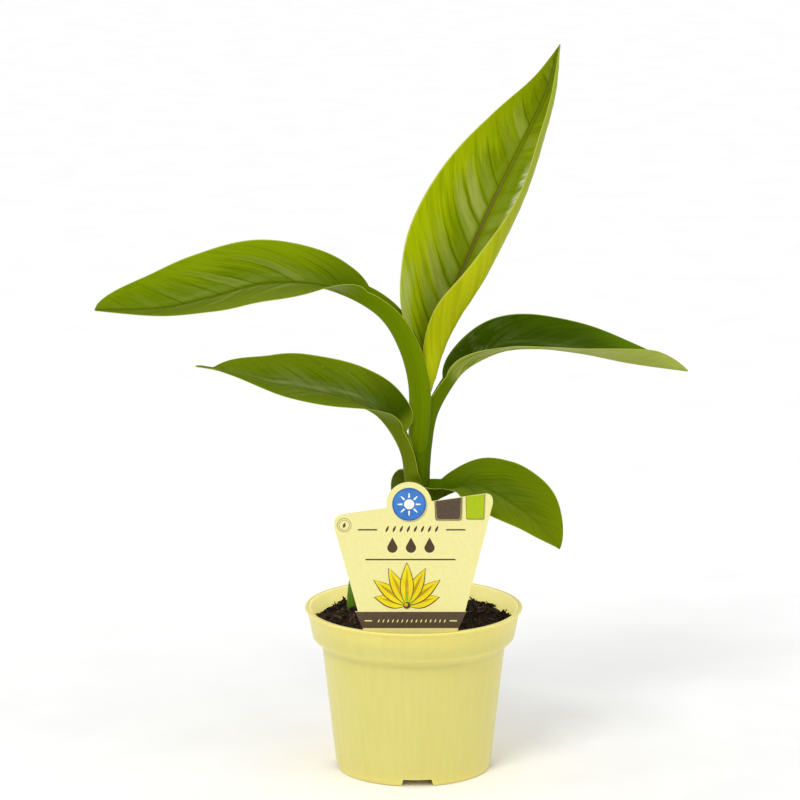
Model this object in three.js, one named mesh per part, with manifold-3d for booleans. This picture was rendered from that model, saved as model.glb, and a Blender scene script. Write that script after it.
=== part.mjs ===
// A young banana plant in a round plastic nursery pot, with its die-cut plant label.
// Millimetres, +Z up. The origin is the middle of the pot's underside, +X is to the
// right of someone who reads the label, and +Y points away from them.
//
// The plant is built the way it grows: a pseudostem of rolled leaf sheaths, and leaves
// that leave it one after the other. Each leaf is one surface, swept along its midrib,
// whose two halves have an outline, a fold at the midrib and a curl towards the margin.

import * as THREE from "three";
import { mergeVertices } from "three/addons/utils/BufferGeometryUtils.js";
import Module from "manifold-3d";

const wasm = await Module();
wasm.setup();

const GAP = 0.3; // clearance between pieces that touch

// ---------------------------------------------------------------- driving dimensions

const POT = {
  height: 91,
  rimRadius: 60,
  lipHeight: 2.2,
  lipReach: 1.7,
  bandFootRadius: 55.9,
  bandFootHeight: 73.5,
  neckRadius: 50.4,
  neckHeight: 68,
  baseRadius: 42.7,
  footEdge: 1,
  wall: 1.3,
  footWidth: 4.2,
  centreRadius: 24,
  channelDepth: 3.2,
  segments: 56,
};
const DRAIN = { notches: 4, notchWidth: 19, notchHeight: 4, notchTurn: 2.7 };
const SLOT = { count: 8, length: 9, width: 3.5, radius: 31 };

const SOIL = { top: 81, bump: 1, rings: 7, segments: 40, levelRadius: 9, fade: 10 };

const STEM = {
  x: 3,
  topZ: 206,
  topX: 3.6,
  topY: 1,
  footRadius: 8.4,
  waistRadius: 6.4,
  waistZ: 135,
  taper: 3, // the upper part narrows late, inside the sheath of the upper left leaf
  topRadius: 3.6,
  sides: 20,
  steps: 14,
};

const SHOOT = { x: -34, y: 25, height: 44, lean: 5, radius: 3, sides: 10, steps: 10 };

const LABEL = {
  y: -46,
  thickness: 0.8,
  foot: { left: -27, right: 23.5, z: 91 },
  left: { x: -43, z: 147 },
  right: { x: 42.5, z: 158 },
  topLeftZ: 151,
  topRightZ: 165,
  cornerRadius: 5,
  bump: { x: -2.7, z: 160.2, radius: 12.2 },
  spikeTop: 84,
  spikeHalfWidth: 8,
  spikeTipZ: 57,
};

const LEAF_ROWS = 26; // steps along a midrib
const HALF_COLUMNS = 5; // steps from the midrib to a margin
const LEAST_THICKNESS = 0.011; // of the leaf's length
const LEAST_HALF_WIDTH = 1.2;
const RIB = { depth: 1.6, width: 3.5, start: 0.15 }; // how the midrib stands out below

// Each leaf: path is its midrib from inside the stem to the tip. faces is the way its
// upper side looks at the base. petiole is the share of the path before the blade. Up to
// there, stalk is the half-width, channel lifts each half at the keel and wrap bends it
// up towards its margin. In the blade, a half's fold and curl do the same. roll turns the
// whole section and lifts the left half. These lists run evenly from one end of their
// stretch to the other, and their angles are degrees. drip is the share of the blade
// that is only a thread at the tip.
const LEAVES = {
  leaf_top: {
    colour: 0x8fa80f,
    path: [
      [5.6, 3.4, 206.3],
      [8, 6, 218],
      [11, 8, 236],
      [17, 8, 256],
      [27, 7, 279],
      [43, 6, 316],
      [60, 4, 351],
      [72, 1, 378],
      [78, -2, 402],
    ],
    faces: [-0.1, -1, 0],
    petiole: 0.01,
    stalk: [5],
    channel: [20],
    wrap: [120],
    roll: [0],
    drip: 0,
    left: {
      width: 36,
      widest: 0.42,
      base: 0.85,
      tip: 1.05,
      fold: [30, 20, 0, 0, 0],
      curl: [90, 20, 0, 0, 10],
    },
    right: {
      width: 39,
      widest: 0.38,
      base: 0.75,
      tip: 1,
      fold: [10, 0, 0, 0, 0],
      curl: [130, 215, 165, 130, 135, 150],
    },
  },
  leaf_left_upper: {
    colour: 0x748712,
    path: [
      [-2.9, 0, 184],
      [-3.2, -1, 217],
      [-9, -3, 238],
      [-18, -5, 253],
      [-34, -9, 265],
      [-52, -13, 273],
      [-80, -18, 275],
      [-110, -23, 268],
      [-136, -27, 263],
      [-171, -32, 263],
    ],
    faces: [1, 0, 0],
    petiole: 0.35,
    stalk: [9, 10, 11],
    channel: [10, 30, 60],
    wrap: [135, 105, 20],
    roll: [0, 0, -12, -20, -20, -20],
    drip: 0,
    left: {
      width: 27,
      widest: 0.45,
      base: 0.6,
      tip: 0.6,
      fold: [60, 28, 26, 32, 36],
      curl: [30, 0, 0, 0, 0],
    },
    right: {
      width: 27,
      widest: 0.52,
      base: 0.5,
      tip: 0.6,
      fold: [45, 26, 23, 23, 20],
      curl: [0],
    },
  },
  leaf_left_lower: {
    colour: 0x667c11,
    path: [
      [-5, -4, 163],
      [-7, -7, 178],
      [-12, -11, 190],
      [-20, -17, 203],
      [-32, -24, 211],
      [-57, -36, 220],
      [-77, -44, 225],
      [-98, -50, 233],
      [-116, -54, 237],
    ],
    faces: [1, 0, 0],
    petiole: 0.17,
    stalk: [6],
    channel: [50],
    wrap: [20],
    roll: [0],
    drip: 0.07,
    left: {
      width: 22,
      widest: 0.5,
      base: 0.6,
      tip: 0.9,
      fold: [45, 33, 22, 24, 20],
      curl: [20, 0, 0, 0, 0],
    },
    right: {
      width: 22,
      widest: 0.52,
      base: 0.2,
      tip: 0.8,
      fold: [55, 36, 22, 20, 20],
      curl: [0],
    },
  },
  leaf_right: {
    colour: 0x466003,
    path: [
      [9, 0, 169],
      [10, 1, 181],
      [13, 2, 198],
      [21, 5, 213],
      [29, 8, 223],
      [47, 13, 232],
      [67, 18, 233],
      [92, 24, 229],
      [120, 30, 222],
      [152, 36, 216],
    ],
    faces: [-1, 0, 0],
    petiole: 0.24,
    stalk: [6],
    channel: [50],
    wrap: [0],
    roll: [0, 0, 20, 20, 20, 10],
    drip: 0,
    left: {
      width: 24,
      widest: 0.5,
      base: 0.5,
      tip: 0.62,
      fold: [45, 43, 34, 30, 30],
      curl: [0],
    },
    right: {
      width: 24,
      widest: 0.45,
      base: 0.6,
      tip: 0.8,
      fold: [45, 20, 15, 27, 45],
      curl: [0, 0, 0, 20, 60],
    },
  },
  leaf_lower_right: {
    colour: 0x667a1a,
    path: [
      [9, -3, 148],
      [14, -5, 153],
      [22, -9, 159],
      [32, -14, 165],
      [41, -20, 164],
      [52, -27, 158],
      [63, -32, 149],
      [71, -34, 141],
      [79, -35, 132],
    ],
    faces: [-1, 0, 0],
    petiole: 0.02,
    stalk: [12],
    channel: [75],
    wrap: [0],
    roll: [0, 0, 0, -5, -5, 0],
    drip: 0,
    left: {
      width: 26,
      widest: 0.6,
      base: 0.9,
      tip: 0.7,
      fold: [50, 20, 15, 10, 0],
      curl: [0, 0, -10, -10, 0],
    },
    right: {
      width: 18,
      widest: 0.45,
      base: 0.8,
      tip: 1.1,
      fold: [80, 30, 15, 5, 0],
      curl: [0, 0, -10, 0, 0],
    },
  },
  leaf_back: {
    colour: 0x55700a,
    path: [
      [2, 6, 148],
      [1, 9, 158],
      [-2, 17, 165],
      [-4, 27, 162],
      [-5, 34, 149],
      [-5, 37, 130],
      [-4, 38, 114],
    ],
    faces: [0, -1, 0],
    petiole: 0.2,
    stalk: [4],
    channel: [40],
    wrap: [0],
    roll: [0],
    drip: 0,
    left: {
      width: 11,
      widest: 0.45,
      base: 0.6,
      tip: 0.9,
      fold: [20, 10, 5],
      curl: [0, -60, -30],
    },
    right: {
      width: 11,
      widest: 0.45,
      base: 0.6,
      tip: 0.9,
      fold: [20, 10, 5],
      curl: [0, -60, -30],
    },
  },
};

// ---------------------------------------------------------------- small helpers

const radians = THREE.MathUtils.degToRad;
const clamp = THREE.MathUtils.clamp;
const ease = (x) => THREE.MathUtils.smoothstep(x, 0, 1);

// Evenly spaced values, joined by a smooth line and read at a share from 0 to 1.
function along(values, share) {
  if (values.length === 1) return values[0];
  const place = clamp(share, 0, 1) * (values.length - 1);
  const i = Math.min(Math.floor(place), values.length - 2);
  const w = place - i;
  const before = values[Math.max(i - 1, 0)];
  const after = values[Math.min(i + 2, values.length - 1)];
  const [a, b] = [values[i], values[i + 1]];
  const m = (b - before) / 2;
  const n = (after - a) / 2;
  return a + m * w + (3 * (b - a) - 2 * m - n) * w ** 2 + (2 * (a - b) + m + n) * w ** 3;
}

function curveThrough(points) {
  return new THREE.CatmullRomCurve3(points.map((p) => new THREE.Vector3(...p)));
}

// A closed surface through rings of points that all have the same count. cap(ring) gives
// the triangles that close one ring, as places in it.
function loft(rings, cap) {
  const count = rings[0].length;
  const positions = rings.flat().flatMap((p) => p.toArray());
  const index = [];
  for (let i = 0; i + 1 < rings.length; i++) {
    for (let k = 0; k < count; k++) {
      const [a, b] = [i * count + k, i * count + ((k + 1) % count)];
      index.push(a, b, b + count, a, b + count, a + count);
    }
  }
  const last = (rings.length - 1) * count;
  for (const [a, b, c] of cap(count)) {
    index.push(a, c, b, last + a, last + b, last + c);
  }
  const geometry = new THREE.BufferGeometry();
  geometry.setAttribute("position", new THREE.Float32BufferAttribute(positions, 3));
  geometry.setIndex(index);
  return geometry;
}

// Closes a ring that is convex enough for a fan.
function fan(count) {
  return Array.from({ length: count - 2 }, (_, k) => [0, k + 1, k + 2]);
}

// Closes a ring that runs out along one side of a thin sheet and back along the other.
function ladder(count) {
  const triangles = [];
  for (let k = 0; k < count / 2 - 1; k++) {
    const across = count - 1 - k;
    triangles.push([k, k + 1, across - 1], [k, across - 1, across]);
  }
  return triangles;
}

function solidOf(geometry) {
  const bare = geometry.clone();
  bare.deleteAttribute("normal");
  bare.deleteAttribute("uv");
  const merged = mergeVertices(bare, 1e-4);
  const triVerts = new Uint32Array(merged.index.array);
  const vertProperties = merged.attributes.position.array;
  return new wasm.Manifold(new wasm.Mesh({ numProp: 3, vertProperties, triVerts }));
}

function geometryOf(solid) {
  const { vertProperties, triVerts } = solid.getMesh();
  const geometry = new THREE.BufferGeometry();
  geometry.setAttribute("position", new THREE.BufferAttribute(vertProperties, 3));
  geometry.setIndex(new THREE.BufferAttribute(triVerts, 1));
  return geometry;
}

// A cut may leave crumbs. The piece is its largest body.
function largest(solid) {
  return solid.decompose().reduce((a, b) => (b.volume() > a.volume() ? b : a));
}

function cut(solid, tools) {
  return tools.reduce((left, tool) => left.subtract(tool), solid);
}

function piece(name, solid, colour, roughness) {
  const material = new THREE.MeshStandardMaterial({
    color: colour,
    roughness,
    metalness: 0,
    side: THREE.DoubleSide,
  });
  const mesh = new THREE.Mesh(geometryOf(solid), material);
  mesh.name = name;
  return mesh;
}

// ---------------------------------------------------------------- pot

// The outer radius of the pot's body, which flares evenly up to the neck.
function bodyRadius(z) {
  return POT.baseRadius + ((POT.neckRadius - POT.baseRadius) * z) / POT.neckHeight;
}

function lathe(profile, segments) {
  const points = profile.map(([r, z]) => new THREE.Vector2(r, z));
  return new THREE.LatheGeometry(points, segments).rotateX(Math.PI / 2);
}

// The pot's inside, from the rim down to its floor.
function innerWall() {
  const floor = POT.channelDepth + POT.wall;
  return [
    [POT.rimRadius - POT.lipReach - POT.wall, POT.height - 0.5],
    [POT.bandFootRadius - POT.wall, POT.bandFootHeight + POT.wall / 2],
    [POT.neckRadius - POT.wall, POT.neckHeight + POT.wall],
    [bodyRadius(floor) - POT.wall, floor],
  ];
}

// The inner radius at a height, along the straight stretches of that wall.
function innerRadius(z) {
  const wall = innerWall();
  const i = clamp(wall.findIndex(([, height]) => height <= z), 1, wall.length - 1);
  const [[r1, z1], [r0, z0]] = [wall[i - 1], wall[i]];
  return r0 + ((r1 - r0) * (z - z0)) / (z1 - z0);
}

function potProfile() {
  const { wall, height, rimRadius, channelDepth, centreRadius } = POT;
  const bandTop = height - POT.lipHeight;
  const underLip = rimRadius - POT.lipReach;
  const footInner = POT.baseRadius - POT.footWidth;
  const floor = channelDepth + wall;
  return [
    [0, 0],
    [centreRadius, 0],
    [centreRadius + 1, channelDepth],
    [footInner - 0.5, channelDepth],
    [footInner, 0],
    [POT.baseRadius - POT.footEdge, 0],
    [bodyRadius(POT.footEdge), POT.footEdge],
    [POT.neckRadius, POT.neckHeight],
    [POT.neckRadius + 0.8, POT.neckHeight + 1.6],
    [POT.bandFootRadius - 0.9, POT.bandFootHeight - 1],
    [POT.bandFootRadius, POT.bandFootHeight],
    [underLip, bandTop],
    [rimRadius, bandTop + 0.4],
    [rimRadius, height - 0.5],
    [rimRadius - 0.5, height],
    [underLip - wall + 0.4, height],
    ...innerWall(),
    [centreRadius + 1 + wall, floor],
    [centreRadius, wall],
    [0, wall],
  ];
}

function boxAt(width, depth, height, x, y, z, turn) {
  const box = new THREE.BoxGeometry(width, depth, height).translate(x, y, z);
  return solidOf(box.rotateZ(turn));
}

function potCuts() {
  const cuts = [];
  for (let i = 0; i < DRAIN.notches; i++) {
    const turn = radians(DRAIN.notchTurn) + (i * 2 * Math.PI) / DRAIN.notches;
    const depth = POT.footWidth + 3;
    const y = -(POT.baseRadius - POT.footWidth / 2);
    const high = DRAIN.notchHeight;
    cuts.push(boxAt(DRAIN.notchWidth, depth, 2 * high, 0, y, 0, turn));
  }
  for (let i = 0; i < SLOT.count; i++) {
    const turn = ((i + 0.5) * 2 * Math.PI) / SLOT.count;
    const z = POT.channelDepth + POT.wall / 2;
    cuts.push(boxAt(SLOT.length, SLOT.width, 3 * POT.wall, SLOT.radius, 0, z, turn));
  }
  return cuts;
}

function potSolid() {
  return cut(solidOf(lathe(potProfile(), POT.segments)), potCuts());
}

// ---------------------------------------------------------------- soil

// The lumps of the soil: low waves that fade out where the stem and the shoot stand.
function soilHeight(x, y) {
  const toStem = Math.hypot(x - STEM.x, y);
  const toShoot = Math.hypot(x - SHOOT.x, y - SHOOT.y);
  const fade = ease((Math.min(toStem, toShoot) - SOIL.levelRadius) / SOIL.fade);
  const waves = Math.sin(x / 7 + 1) * Math.cos(y / 6) + 0.6 * Math.sin((x + 2 * y) / 9);
  return SOIL.top + SOIL.bump * fade * waves;
}

// A ring of points round the pot's axis, at one height or following the soil's lumps.
function soilRing(radius, height) {
  return Array.from({ length: SOIL.segments }, (_, k) => {
    const turn = (k * 2 * Math.PI) / SOIL.segments;
    const [x, y] = [radius * Math.cos(turn), radius * Math.sin(turn)];
    return new THREE.Vector3(x, y, height ?? soilHeight(x, y));
  });
}

function soilSolid(tools) {
  // The pot's flat facets reach further in than its circle does.
  const facet = Math.cos(Math.PI / POT.segments);
  const fit = (z) => innerRadius(z) * facet - GAP;
  const heights = innerWall().map(([, z]) => z);
  const [, bandFoot, neck, floor] = heights;
  const edge = SOIL.top - 2 * SOIL.bump;
  const rings = [floor + GAP, neck, bandFoot + GAP, edge].map((z) => soilRing(fit(z), z));
  for (let i = SOIL.rings; i > 0; i--) {
    rings.push(soilRing(((fit(edge) - GAP) * i) / SOIL.rings));
  }
  return cut(solidOf(loft(rings, fan)), tools);
}

// ---------------------------------------------------------------- stem and side shoot

// A round, tapering limb through a curve. radiusAt(share) gives its radius.
function limb(curve, radiusAt, sides, steps) {
  const rings = Array.from({ length: steps + 1 }, (_, i) => {
    const centre = curve.getPointAt(i / steps);
    const radius = radiusAt(i / steps);
    return Array.from({ length: sides }, (_, k) => {
      const turn = (k * 2 * Math.PI) / sides;
      const [x, y] = [radius * Math.cos(turn), radius * Math.sin(turn)];
      return new THREE.Vector3(x, y, 0).add(centre);
    });
  });
  return solidOf(loft(rings, fan));
}

// The pseudostem, from its flat cut on the soil. swell makes the larger tool that keeps
// the leaves clear of it.
function stemSolid(swell) {
  const foot = SOIL.top + GAP - swell;
  const curve = curveThrough([
    [STEM.x, 0, foot],
    [STEM.x, 0, STEM.waistZ],
    [STEM.topX, STEM.topY, STEM.topZ + swell],
  ]);
  const waist = (STEM.waistZ - foot) / (STEM.topZ - foot);
  const radiusAt = (share) => {
    const flare = (1 - clamp(share / waist, 0, 1)) ** 2;
    const taper = clamp((share - waist) / (1 - waist), 0, 1) ** STEM.taper;
    const straight = STEM.waistRadius + (STEM.topRadius - STEM.waistRadius) * taper;
    return straight + (STEM.footRadius - STEM.waistRadius) * flare + swell;
  };
  return limb(curve, radiusAt, STEM.sides, STEM.steps);
}

// A side shoot: the rolled spear of a young sucker.
function shootSolid() {
  const foot = SOIL.top + GAP;
  const curve = curveThrough([
    [SHOOT.x, SHOOT.y, foot],
    [SHOOT.x + SHOOT.lean * 0.3, SHOOT.y, foot + SHOOT.height / 2],
    [SHOOT.x + SHOOT.lean, SHOOT.y + 1, foot + SHOOT.height],
  ]);
  const radiusAt = (share) => SHOOT.radius * (1 - share ** 2.2) + 0.4;
  return limb(curve, radiusAt, SHOOT.sides, SHOOT.steps);
}

// ---------------------------------------------------------------- leaves

// Half the width of a blade at a share of its length: a quarter sine up to the widest
// place and a quarter cosine down to the tip, each raised to its own power.
function halfWidth(half, share) {
  const rise = Math.sin((Math.PI / 2) * clamp(share / half.widest, 0, 1)) ** half.base;
  const run = clamp((share - half.widest) / (1 - half.widest), 0, 1);
  const fall = Math.max(Math.cos((Math.PI / 2) * run), 0) ** half.tip;
  return half.width * (share < half.widest ? rise : fall);
}

// The midrib's places, and at each the direction of growth, the way the upper side looks
// and the way to the right half.
function midribFrames(leaf) {
  const curve = curveThrough(leaf.path);
  const up = new THREE.Vector3(...leaf.faces);
  return Array.from({ length: LEAF_ROWS + 1 }, (_, i) => {
    const share = i / LEAF_ROWS;
    const tangent = curve.getTangentAt(share);
    up.addScaledVector(tangent, -up.dot(tangent)).normalize();
    const turn = radians(along(leaf.roll, share));
    const side = new THREE.Vector3().crossVectors(tangent, up);
    const normal = up.clone().multiplyScalar(Math.cos(turn));
    normal.addScaledVector(side, Math.sin(turn));
    const right = side.clone().multiplyScalar(Math.cos(turn));
    right.addScaledVector(up, -Math.sin(turn));
    return { share, point: curve.getPointAt(share), tangent, normal, right };
  });
}

// One half of one section, from the midrib to the margin: how far out and up each place
// is, and the angle of the surface there.
function halfSection(leaf, half, share) {
  const blade = clamp((share - leaf.petiole) / (1 - leaf.petiole), 0, 1);
  const outline = halfWidth(half, Math.min(blade / (1 - leaf.drip), 1));
  const climb = share / leaf.petiole;
  const stalk = along(leaf.stalk, climb) * (1 - ease(blade / 0.35));
  const width = Math.max(outline, stalk, LEAST_HALF_WIDTH);
  const open = ease((share - leaf.petiole * 0.9) / 0.12);
  const fold = along(leaf.channel, climb) * (1 - open) + along(half.fold, blade) * open;
  const curl = along(leaf.wrap, climb) * (1 - open) + along(half.curl, blade) * open;
  const places = [{ out: 0, up: 0, angle: radians(fold) }];
  for (let k = 0; k < HALF_COLUMNS; k++) {
    const angle = radians(fold + (curl * (k + 0.5)) / HALF_COLUMNS);
    const before = places[k];
    const step = width / HALF_COLUMNS;
    const out = before.out + Math.cos(angle) * step;
    const up = before.up + Math.sin(angle) * step;
    places.push({ out, up, angle: radians(fold + (curl * (k + 1)) / HALF_COLUMNS) });
  }
  return places;
}

// The ring of one section: the upper side from the left margin to the right one, and
// back along the lower side, which a thicker midrib stands out of. Up to the blade the
// path is the lower side of the midrib, and in the blade it is the upper one. swell moves
// every side outwards.
function leafRing(leaf, frame, thickness, swell) {
  const open = ease((frame.share - leaf.petiole) / 0.2);
  const rib = RIB.depth * (1 - frame.share) * ease(frame.share / RIB.start);
  const centre = frame.point.clone();
  centre.addScaledVector(frame.normal, (thickness + rib) * (1 - open));
  const sideways = (angle, sign, length) => {
    const step = frame.right.clone().multiplyScalar(sign * Math.cos(angle) * length);
    return step.addScaledVector(frame.normal, Math.sin(angle) * length);
  };
  const bothSides = (place, sign, last) => {
    const atRib = place.out === 0 && place.up === 0;
    const tilt = atRib ? 0 : place.angle;
    const outward = sideways(tilt + Math.PI / 2, sign, 1);
    const depth = thickness + rib * Math.exp(-((place.out / RIB.width) ** 2));
    const middle = centre.clone().addScaledVector(frame.right, sign * place.out);
    middle.addScaledVector(frame.normal, place.up);
    if (last) middle.add(sideways(tilt, sign, swell));
    const lift = atRib ? swell / Math.cos(place.angle) : swell;
    const upper = middle.clone().addScaledVector(outward, lift);
    return [upper, middle.addScaledVector(outward, -depth - swell)];
  };
  const sides = [-1, 1].map((sign) => {
    const places = halfSection(leaf, sign < 0 ? leaf.left : leaf.right, frame.share);
    return places.map((place, k) => bothSides(place, sign, k === HALF_COLUMNS));
  });
  const pairs = [...sides[0].slice(1).reverse(), ...sides[1]];
  return [...pairs.map(([upper]) => upper), ...pairs.map(([, lower]) => lower).reverse()];
}

// swell makes the tool that keeps other leaves clear of this one.
function leafSolid(leaf, tools, swell = 0) {
  const length = curveThrough(leaf.path).getLength();
  const thickness = LEAST_THICKNESS * length;
  const frames = midribFrames(leaf);
  const [first, last] = [frames[0], frames[LEAF_ROWS]];
  first.point.addScaledVector(first.tangent, -swell);
  last.point.addScaledVector(last.tangent, swell);
  const rings = frames.map((frame) => leafRing(leaf, frame, thickness, swell));
  return largest(cut(solidOf(loft(rings, ladder)), tools));
}

// ---------------------------------------------------------------- label

function labelShape() {
  const { foot, left, right, bump, cornerRadius, spikeHalfWidth } = LABEL;
  const slope = (LABEL.topRightZ - LABEL.topLeftZ) / (right.x - left.x);
  const topZ = (x) => LABEL.topLeftZ + slope * (x - left.x);
  const spread = Math.sqrt(bump.radius ** 2 - (topZ(bump.x) - bump.z) ** 2);
  const shape = new THREE.Shape();
  shape.moveTo(foot.left, foot.z);
  shape.lineTo(left.x + 0.6, left.z - cornerRadius + 3);
  shape.quadraticCurveTo(left.x, topZ(left.x), left.x + cornerRadius, topZ(left.x + 5));
  shape.lineTo(bump.x - spread, topZ(bump.x - spread));
  const start = Math.PI - Math.asin((topZ(bump.x - spread) - bump.z) / bump.radius);
  const end = Math.asin((topZ(bump.x + spread) - bump.z) / bump.radius);
  shape.absarc(bump.x, bump.z, bump.radius, start, end, true);
  shape.lineTo(right.x - cornerRadius, topZ(right.x - cornerRadius));
  shape.quadraticCurveTo(right.x, topZ(right.x), right.x - 0.6, right.z - 2);
  shape.lineTo(foot.right, foot.z);
  shape.lineTo(foot.right - 2, LABEL.spikeTop);
  shape.lineTo(spikeHalfWidth, LABEL.spikeTop - 4);
  shape.lineTo(0, LABEL.spikeTipZ);
  shape.lineTo(-spikeHalfWidth, LABEL.spikeTop - 4);
  shape.lineTo(foot.left + 2, LABEL.spikeTop);
  shape.closePath();
  return shape;
}

// The card stands upright in a slot of the soil. swell makes the tool for that slot.
function labelSolid(swell) {
  const depth = LABEL.thickness + 2 * swell;
  const options = { depth, bevelEnabled: false, curveSegments: 14 };
  const card = new THREE.ExtrudeGeometry(labelShape(), options);
  card.rotateX(Math.PI / 2).translate(0, LABEL.y + depth / 2, 0);
  return solidOf(card);
}

// The slot for the spike, a little wider and deeper than the card all round.
function labelSlot() {
  const card = labelSolid(GAP);
  const lower = card.translate([0, 0, -GAP]);
  const wider = [-GAP, GAP].map((shift) => lower.translate([shift, 0, 0]));
  return [lower, ...wider];
}

// ---------------------------------------------------------------- assembly

const stem = stemSolid(0);
const stemTool = stemSolid(GAP);

const plant = new THREE.Group();
plant.name = "banana_plant";
plant.add(piece("pot", potSolid(), 0xe6d980, 0.35));
plant.add(piece("soil", soilSolid(labelSlot()), 0x3a2e20, 0.95));
plant.add(piece("pseudostem", stem, 0x567208, 0.5));
plant.add(piece("side_shoot", shootSolid(), 0x5c7a2a, 0.5));
plant.add(piece("label", labelSolid(0), 0xf6efa6, 0.5));
const leafTools = [stemTool];
for (const [name, leaf] of Object.entries(LEAVES)) {
  plant.add(piece(name, leafSolid(leaf, leafTools), leaf.colour, 0.4));
  leafTools.push(leafSolid(leaf, [], GAP));
}

export default plant;
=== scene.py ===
"""A young banana plant in a pale yellow nursery pot, with its die-cut plant label.

The CAD frame gives every place and size. Each leaf is grown again here by the rule of the
part's source, as a thin blade with veins, a midrib and a sheath that wraps the stem. The
pot, soil, label and side shoot are finer meshes in the places of their CAD nodes.
Lengths are in millimetres up to the moment a mesh is made, and metres from there on.
"""

import math

import bpy
import numpy as np
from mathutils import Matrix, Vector


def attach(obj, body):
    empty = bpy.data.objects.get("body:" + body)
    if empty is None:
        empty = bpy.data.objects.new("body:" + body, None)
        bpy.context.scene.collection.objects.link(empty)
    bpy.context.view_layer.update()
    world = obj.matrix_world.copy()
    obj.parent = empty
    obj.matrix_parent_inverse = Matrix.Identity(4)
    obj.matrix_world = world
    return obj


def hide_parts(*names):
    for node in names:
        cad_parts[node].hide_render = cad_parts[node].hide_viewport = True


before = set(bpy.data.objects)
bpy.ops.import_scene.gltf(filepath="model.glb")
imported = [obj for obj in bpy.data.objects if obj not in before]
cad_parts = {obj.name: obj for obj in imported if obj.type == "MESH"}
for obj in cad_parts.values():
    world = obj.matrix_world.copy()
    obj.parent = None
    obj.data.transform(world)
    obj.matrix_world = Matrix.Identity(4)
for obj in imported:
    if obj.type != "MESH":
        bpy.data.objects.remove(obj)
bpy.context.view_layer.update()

MM = 0.001
BODY = "root"

# ---------------- driving dimensions

POT = {
    "height": 91, "rim": 60, "lip_height": 2.2, "lip_reach": 1.7,
    "band_foot": 55.9, "band_foot_z": 74.8, "neck": 50.5, "neck_z": 69.3,
    "base": 42.7, "wall": 1.3, "foot_width": 4.2, "centre": 24, "channel": 3.2,
    "segments": 256, "crisp": 28,
}
DRAIN = {"notches": 4, "width": 19, "height": 4, "turn": 2.7, "taper": 1.2}
SLOT = {"count": 8, "length": 9, "width": 3.5, "radius": 31}
SOIL_TOP = 83
SOIL = {"seed": 7, "rings": 70, "segments": 220, "heap": 1.3, "edge_drop": 1.2, "rough": 0.5}
# A thing on the soil keeps "clear" from the stem's middle.
STEM = {"x": 3, "foot": 8.4, "waist": 6.4, "waist_z": 135, "top_z": 206, "top": 5.2,
        "clear": 9}
SHOOT = {"x": -34.3, "y": 25, "height": 40.5, "lean": 4, "radius": 2.7}
LABEL = {"y": -46, "thickness": 0.8, "half_width": 30, "clear": 0.6}

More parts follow.
